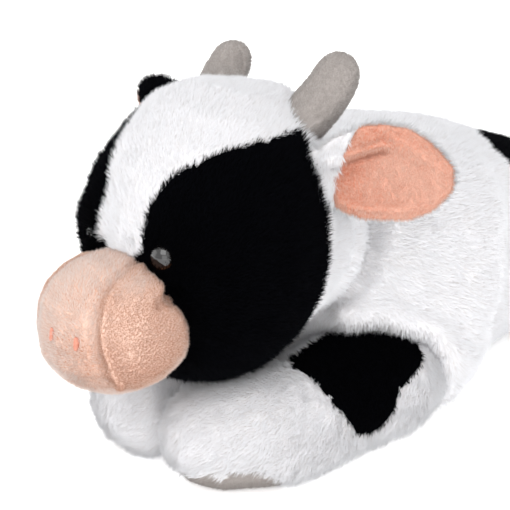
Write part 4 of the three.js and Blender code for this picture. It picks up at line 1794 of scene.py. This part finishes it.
@dataclass
class SafetyEye:
    """A domed eye on a stem, held by a washer inside the cover.

    Attributes:
        side: Which eye.
        rings: Rings of the dome.
        segments: Segments round it.
        bulge: The dome's height, as a share of its radius.
        flange: How far the flange reaches down, as a share of the dome's radius.
        flange_width: The flange's radius, as a share of the dome's.
    """

    side: Side
    rings: int = 14
    segments: int = 48
    bulge: float = 0.78
    flange: float = 0.5
    flange_width: float = 0.86

    def build(self) -> None:
        """Lathes the dome where the CAD eye is, and dresses both pieces."""
        node, washer = f"eye_{self.side.value}", f"eye_washer_{self.side.value}"
        points = vertices_of(frame["nodes"][node].data)
        centre, axis = self.axis_of(points, vertices_of(frame["nodes"][washer].data))
        dome = self.dome(points, centre, axis)
        piece = piece_of(f"{node}_dome", dome, EYE_GLOSS.material())
        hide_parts(node)
        hand_over(piece, "head")
        plate = frame["nodes"][washer]
        plate.data.materials.clear()
        plate.data.materials.append(WASHER.material())

    def axis_of(self, eye: Array, washer: Array) -> tuple[Array, Array]:
        """Finds how the eye sits.

        Args:
            eye: The eye's vertices.
            washer: The washer's.

        Returns:
            The washer's centre, and the way from it to the eye's middle.
        """
        inner = (washer.max(axis=0) + washer.min(axis=0)) / 2
        axis = np.linalg.svd(washer - washer.mean(axis=0))[2][2]
        way = eye.mean(axis=0) - inner
        return inner, axis * math.copysign(1.0, float(axis @ way))

    def dome(self, points: Array, centre: Array, axis: Array) -> Mesh:
        """A smooth dome with a small flange, as wide and as proud as the CAD eye.

        Args:
            points: The CAD eye's vertices.
            centre: The washer's centre.
            axis: The way outwards.

        Returns:
            The mesh.
        """
        rise = (points - centre) @ axis
        out = np.linalg.norm(points - centre - rise[:, None] * axis, axis=1)
        radius, top = float(out.max()), float(rise.max())
        foot = top - radius * self.bulge
        base = foot - radius * self.flange
        profile = [(0.0, base), (radius * self.flange_width, base)]
        for step in range(self.rings + 1):
            angle = math.pi / 2 * step / self.rings
            profile.append((radius * math.cos(angle), foot + (top - foot) * math.sin(angle)))
        return lathed(profile, centre, axis, self.segments, radius)


def lathed(
    profile: list[tuple[float, float]], centre: Array, axis: Array, segments: int,
    radius: float,
) -> Mesh:
    """Turns a profile round an axis into a closed body.

    Args:
        profile: Pairs of distance out and height along the axis, pole to pole.
        centre: Where height is 0.
        axis: The axis, at length one.
        segments: Segments round.
        radius: The distance out at which the iris attribute is full.

    Returns:
        The mesh, with an iris attribute whose brown is painted light at the lower rim.
    """
    side = unit(np.cross(axis, [0.0, 0.0, 1.0])[None])[0]
    other = np.cross(axis, side)
    work = bmesh.new()
    rings = []
    for out, height in profile:
        base = centre + axis * height
        if out < radius * 1e-3:
            rings.append([work.verts.new(base)])
            continue
        turns = [2 * math.pi * step / segments for step in range(segments)]
        rings.append([
            work.verts.new(base + out * (side * math.cos(turn) + other * math.sin(turn)))
            for turn in turns
        ])
    for low, high in zip(rings, rings[1:]):
        for step in range(segments):
            after = (step + 1) % segments
            corners = [low[step % len(low)], low[after % len(low)]]
            corners += [high[after % len(high)], high[step % len(high)]]
            work.faces.new(list(dict.fromkeys(corners)))
    bmesh.ops.recalc_face_normals(work, faces=work.faces)
    mesh = closed_up(work, "lathed")
    shaded_smooth(mesh)
    points = vertices_of(mesh) - centre
    flat = points - (points @ axis)[:, None] * axis
    # The iris's brown only towards the lower rim: painted light.
    low = np.clip(LIT_IRIS_LEVEL - LIT_IRIS_FALL * unit(flat)[:, 2], 0, 1)
    put_attribute(mesh, "lit_iris", "FLOAT", low * np.linalg.norm(flat, axis=1) / radius)
    return mesh


@dataclass
class Nostril:
    """An embroidered nostril: satin stitches side by side on the muzzle.

    Attributes:
        side: The cow's side.
        half_width: Half its width.
        half_height: Half its height.
        stitches: How many stitches it has.
        thread: The thread's radius.
        lift: How high the stitches stand.
        dip: How far a stitch's ends go down, as a share of its lift.
        dip_power: How late along the stitch they do.
        stops: How many points a stitch's line has.
        facets: How many sides the thread has.
    """

    side: Side
    half_width: float = 1.2 * MM
    half_height: float = 3.1 * MM
    stitches: int = 12
    thread: float = 0.32 * MM
    lift: float = 1.2 * MM
    dip: float = 1.6
    dip_power: int = 6
    stops: int = 7
    facets: int = 6

    def build(self, cloth: BVHTree) -> None:
        """Sews the stitches and lets them take the CAD bead's place.

        Args:
            cloth: The muzzle's surface.
        """
        whole = bmesh.new()
        for step in range(self.stitches):
            rise = (step + 0.5) / self.stitches * 2 - 1
            self.stitch(whole, self.line(cloth, rise))
        mesh = closed_up(whole, "stitches")
        shaded_smooth(mesh)
        node = f"nostril_{self.side.value}"
        piece = piece_of(f"{node}_stitches", mesh, BACKINGS[THREAD.name])
        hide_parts(node)
        hand_over(piece, "head")

    def line(self, cloth: BVHTree, rise: float) -> list[Vector]:
        """One stitch's middle line: out of the cloth, over it and back in.

        Args:
            cloth: The muzzle's surface.
            rise: How high on the oval it lies, from -1 to 1.

        Returns:
            Points along it.
        """
        centre = Vector(middle_of(f"nostril_{self.side.value}")) * MM
        middle, normal, _, _ = cloth.find_nearest(centre)
        up = (Vector((0, 0, 1)) - normal * normal.z).normalized()
        across = up.cross(normal)
        half = self.half_width * math.sqrt(1 - rise**2) + self.thread
        points = []
        for share in np.linspace(-1, 1, self.stops):
            spot = middle + up * rise * self.half_height + across * float(share) * half
            place, out, _, _ = cloth.find_nearest(spot)
            sunk = self.dip * self.lift * float(share) ** self.dip_power
            points.append(place + out * (self.lift - sunk))
        return points

    def stitch(self, whole: bmesh.types.BMesh, line: list[Vector]) -> None:
        """Adds a closed round thread along a line.

        Args:
            whole: The editable mesh that takes it.
            line: The thread's middle line.
        """
        turns = [2 * math.pi * step / self.facets for step in range(self.facets)]
        rings = []
        for index, point in enumerate(line):
            before, after = line[max(index - 1, 0)], line[min(index + 1, len(line) - 1)]
            way = (after - before).normalized()
            first = way.orthogonal().normalized() if not rings else first - way * first.dot(way)
            first.normalize()
            second = way.cross(first)
            rings.append([
                whole.verts.new(
                    point + (first * math.cos(turn) + second * math.sin(turn)) * self.thread
                )
                for turn in turns
            ])
        for low, high in zip(rings, rings[1:]):
            for step in range(self.facets):
                after = (step + 1) % self.facets
                whole.faces.new((low[step], low[after], high[after], high[step]))
        whole.faces.new(list(reversed(rings[0])))
        whole.faces.new(rings[-1])


# Studio


def aimed(name: str, data: bpy.types.ID, place: Vector, target: Vector) -> Object:
    """Sets up a camera or a lamp.

    Args:
        name: Its name.
        data: The camera or the lamp.
        place: Where it stands.
        target: What it looks at.

    Returns:
        Its object.
    """
    made = object_of(name, data)
    made.location = place
    made.rotation_euler = (place - target).to_track_quat("Z", "Y").to_euler()
    return made


@dataclass(frozen=True)
class Lamp:
    """One square soft light.

    Attributes:
        name: Its name.
        place: Where it hangs.
        size: The length of its sides.
        power: Its power, in watts.
    """

    name: str
    place: Place
    size: float
    power: float

    def build(self, target: Place) -> None:
        """Hangs it up.

        Args:
            target: What it is aimed at.
        """
        lamp = bpy.data.lights.new(self.name, "AREA")
        lamp.size = self.size
        lamp.energy = self.power
        aimed(self.name, lamp, Vector(self.place), Vector(target))


LAMPS = (
    Lamp("key", (0.6, -1.1, 1.5), size=1.3, power=13.3),
    Lamp("fill", (-1.4, -1.3, 0.5), size=1.6, power=8),
    Lamp("side", (1.9, -0.3, 0.7), size=1.6, power=2),
    Lamp("low", (1.2, -1.5, 0.35), size=1.2, power=5.5),
)


@dataclass
class Studio:
    """The pale floor, the soft lights and the camera.

    Attributes:
        look_at: The place the camera turns round.
        azimuth: How far round it stands, from the cow's front towards its left.
        elevation: How high it stands.
        distance: How far off it stands.
        lens: Its focal length, in millimetres.
        sensor: Its sensor's width, in millimetres.
        near: The nearest it sees.
        far: The farthest it sees.
        aim_right: How far right of the place it aims.
        aim_down: How far below the place it aims.
        floor_half: Half the floor's side.
        lit_place: What the lamps are aimed at.
        sky_level: How strongly the world lights the object.
    """

    look_at: Place = (0.0, -0.150, 0.127)
    azimuth: float = math.radians(41)
    elevation: float = math.radians(21.5)
    distance: float = 1.1
    lens: float = 160.1
    sensor: float = 36.0
    near: float = 0.05
    far: float = 50.0
    aim_right: float = 0.0233
    aim_down: float = 0.0131
    floor_half: float = 6.0
    lit_place: Place = (0.0, 0.0, 0.1)
    sky_level: float = 1.32

    def build(self) -> None:
        """Makes all of it."""
        bpy.context.scene.view_settings.view_transform = "Standard"
        self.camera()
        self.floor()
        for lamp in LAMPS:
            lamp.build(self.lit_place)
        self.sky()

    def camera(self) -> None:
        """The camera at the photograph's angle."""
        right = Vector((math.cos(self.azimuth), math.sin(self.azimuth), 0))
        level = math.cos(self.elevation)
        back = Vector((right.y * level, -right.x * level, math.sin(self.elevation)))
        place = Vector(self.look_at) + back * self.distance
        aim = right * self.aim_right - back.cross(right) * self.aim_down
        camera = bpy.data.cameras.new("camera")
        camera.lens = self.lens
        camera.sensor_width = self.sensor
        camera.clip_start = self.near
        camera.clip_end = self.far
        scene = bpy.context.scene
        scene.camera = aimed("camera", camera, place, Vector(self.look_at) + aim)

    def floor(self) -> None:
        """A large plain floor."""
        signs = ((-1, -1), (1, -1), (1, 1), (-1, 1))
        corners = [(x * self.floor_half, y * self.floor_half, 0) for x, y in signs]
        mesh = bpy.data.meshes.new("floor")
        mesh.from_pydata(corners, [], [(0, 1, 2, 3)])
        piece_of("floor", mesh, FLOOR.material())

    def sky(self) -> None:
        """A soft world light that the camera sees as white."""
        world = bpy.data.worlds.new("studio")
        world.use_nodes = True
        bench = Bench(world.node_tree)
        rays = bench.add("ShaderNodeLightPath").outputs
        inputs = {0: rays["Is Camera Ray"], 1: rays["Is Transmission Ray"]}
        seen = bench.add("ShaderNodeMath", inputs, operation="MAXIMUM").outputs[0]
        inputs = {"Value": seen, "To Min": self.sky_level, "To Max": 1.0}
        level = bench.add("ShaderNodeMapRange", inputs).outputs["Result"]
        back = bench.tree.nodes["Background"]
        bench.feed(back.inputs["Color"], (1, 1, 1, 1))
        bench.feed(back.inputs["Strength"], level)
        bpy.context.scene.world = world


# The cow


class Pair(Enum):
    """The cow's two pairs of legs."""

    FORE = "foreleg"
    HIND = "hindleg"


def torso() -> SewnPart:
    """The body and its back patch.

    Returns:
        The part.
    """
    quarters = ("front_left", "front_right", "rear_left", "rear_right")
    nodes = ("body_cover", "back_patch", "body_filling")
    legs = [f"{pair.value}_{side.value}" for pair in Pair for side in Side]
    under = tuple(f"{stem}_{layer}" for stem in legs for layer in ("cover", "filling"))
    return Trunk(
        "torso",
        SoftForm(nodes, nodes[:2], cell=2.7 * MM, rounds=45, marks=torso_marks()),
        (Panel("body_cover", WHITE, BROAD, quarters), Panel("back_patch", BLACK, BROAD)),
        fill=0.8, inside=("body_filling",), under=(*under, "neck_filling"),
    )


def neck() -> SewnPart:
    """The neck, a small stuffed joint between body and head.

    Returns:
        The part.
    """
    nodes = ("neck_filling",)
    under = ("body_cover", "body_filling", "crown_panel", "head_filling")
    form = SoftForm(nodes, nodes, plump=7.5 * MM)
    return Trunk("neck", form, (Panel(*nodes, WHITE, BROAD),), fill=0.7, under=under)


def head() -> SewnPart:
    """The head with its four panels.

    Returns:
        The part.
    """
    panels = (
        Panel("crown_panel", WHITE, FINE),
        Panel("face_patch_left", BLACK, DARK),
        Panel("face_patch_right", BLACK, replace(DARK, length=6.0)),
        Panel("muzzle_cover", MUZZLE, SHORT),
    )
    nodes = tuple(panel.node for panel in panels)
    shape = (
        Swell((18.0, -116.0, 187.0), (20.0, 12.0, 14.0), 4.5),
        Swell((-37.0, -191.0, 135.0), (14.0, 14.0, 14.0), 3.5),
        Swell((-34.5, -169.0, 176.5), (14.0, 14.0, 14.0), -3.5),
        Swell((48.0, -103.0, 112.0), (17.0, 18.0, 40.0), 11.0),
        Swell((-36.0, -98.0, 112.0), (17.0, 18.0, 40.0), 7.0),
        # This dent also paints a little light on the pile.
        Swell((-16.0, -252.0, 104.0), (34.0, 22.0, 34.0), -3.5, -0.15),
    )
    laps = tuple(
        Claim(on_head(line, side), radius, nodes.index(f"face_patch_{side.value}"))
        for line, radius in ((PATCH_LAP, 4.2), (PATCH_NOTCH, 3.6))
        for side in Side
    )
    form = SoftForm(
        (*nodes, "head_filling"), nodes, cell=1.6 * MM, rounds=70,
        marks=muzzle_marks() + shape, claims=laps,
    )
    return Head(
        "head", form, panels, fill=0.9, inside=("head_filling",), under=("neck_filling",),
        bare=clearings(), stray=1.6 * MM,
    )


def clearings() -> tuple[tuple[Place, float], ...]:
    """Where the pile is kept off eyes and nostrils.

    Returns:
        Places with a radius, in millimetres.
    """
    found = []
    for side in Side:
        found.append((middle_of(f"eye_{side.value}"), EYE_CLEARINGS[side]))
        x, y, z = middle_of(f"nostril_{side.value}")
        found += [((x, y, z + rise), NOSTRIL_CLEARING) for rise in NOSTRIL_RISES]
    return tuple(found)


def leg(pair: Pair, side: Side) -> SewnPart:
    """One leg with its cover, sole and, on the left foreleg, a black patch.

    Args:
        pair: Front or back.
        side: The cow's side.

    Returns:
        The part.
    """
    stem, filling = f"{pair.value}_{side.value}", f"{pair.value}_{side.value}_filling"
    fore = pair is Pair.FORE
    cover = Panel(f"{stem}_cover", WHITE, LONG if fore else BROAD)
    panels = [cover, Panel(f"{stem}_sole", GREY, SOLE)]
    if fore and side is Side.LEFT:
        panels.append(Panel(f"{stem}_patch", BLACK, DARK))
    nodes = tuple(panel.node for panel in panels)
    marks = TOE_SWELLS[side] if fore else ()
    return Limb(
        stem, SoftForm((*nodes, filling), nodes, seam_depth=0.5 * MM, marks=marks),
        tuple(panels), fill=0.75, inside=(filling,), under=("body_cover", "body_filling"),
    )


def ear(side: Side) -> SewnPart:
    """One ear: pile outside, lining inside.

    Args:
        side: The cow's side.

    Returns:
        The part.
    """
    finish = WHITE if side is Side.LEFT else BLACK
    nodes = (f"ear_outer_{side.value}", f"ear_lining_{side.value}")
    along, across, face = EAR_WAYS[side]
    form = SoftForm(
        nodes, nodes, cell=1.2 * MM, rounds=80, plump=1.0 * MM, seam_depth=0.4 * MM,
        marks=ear_marks(side),
    )
    return Ear(
        f"ear_{side.value}", form,
        (Panel(nodes[0], finish, TRIM), Panel(nodes[1], LINING, SHORT)),
        fill=0.3, stray=0.3 * MM, root=joint_place(f"ear_flap_{side.value}"),
        along=along, across=across, face=face,
    )


def horn(side: Side) -> SewnPart:
    """One horn in short grey pile.

    Args:
        side: The cow's side.

    Returns:
        The part.
    """
    node = f"horn_{side.value}"
    low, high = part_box(node)
    foot = ((low.x + high.x) / 2, (low.y + high.y) / 2, low.z)
    marks = (
        Swell((47.0, -105.0, 198.0), (9.0, 14.0, 13.0), 2.0),
        # The seam paints shade along its groove.
        Crease(HORN_SEAMS[side], 1.1, 1.0, tone=0.35),
    )
    form = SoftForm((node,), (node,), cell=1.0 * MM, rounds=30, plump=0.4 * MM, marks=marks)
    return RootedPart("head", form, (Panel(node, GREY, NUBBY),), fill=0.9, root=foot)


def tail_part(node: str, finish: PileFinish) -> SewnPart:
    """The tail's cord or its tuft.

    Args:
        node: Its CAD node.
        finish: Its pile.

    Returns:
        The part.
    """
    low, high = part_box(node)
    foot = (0.0, low.y, high.z)
    form = SoftForm((node,), (node,), cell=1.0 * MM, rounds=20, plump=0.2 * MM)
    return RootedPart("tail", form, (Panel(node, finish, LONG),), fill=0.7, root=foot)


def joint_place(name: str) -> Place:
    """Where a joint's pivot is, in metres."""
    return tuple(next(joint["pos_m"] for joint in frame["joints"] if joint["name"] == name))


def main() -> None:
    """Builds the studio and every part of the cow, in order."""
    logging.basicConfig(level=logging.INFO, format="%(message)s")
    prepare_finishes()
    Studio().build()
    tree = PileTree()
    face = head()
    parts = (
        torso(), neck(), face,
        *(leg(pair, side) for pair in Pair for side in Side),
        *(ear(side) for side in Side),
        *(horn(side) for side in Side),
        tail_part("tail_cord", WHITE), tail_part("tail_tuft", BLACK),
    )
    for number, part in enumerate(parts, start=1):
        part.build(tree, SEED_STEP * number)
    for side in Side:
        SafetyEye(side).build()
        Nostril(side).build(face.cloth)


if __name__ == "__main__":
    main()
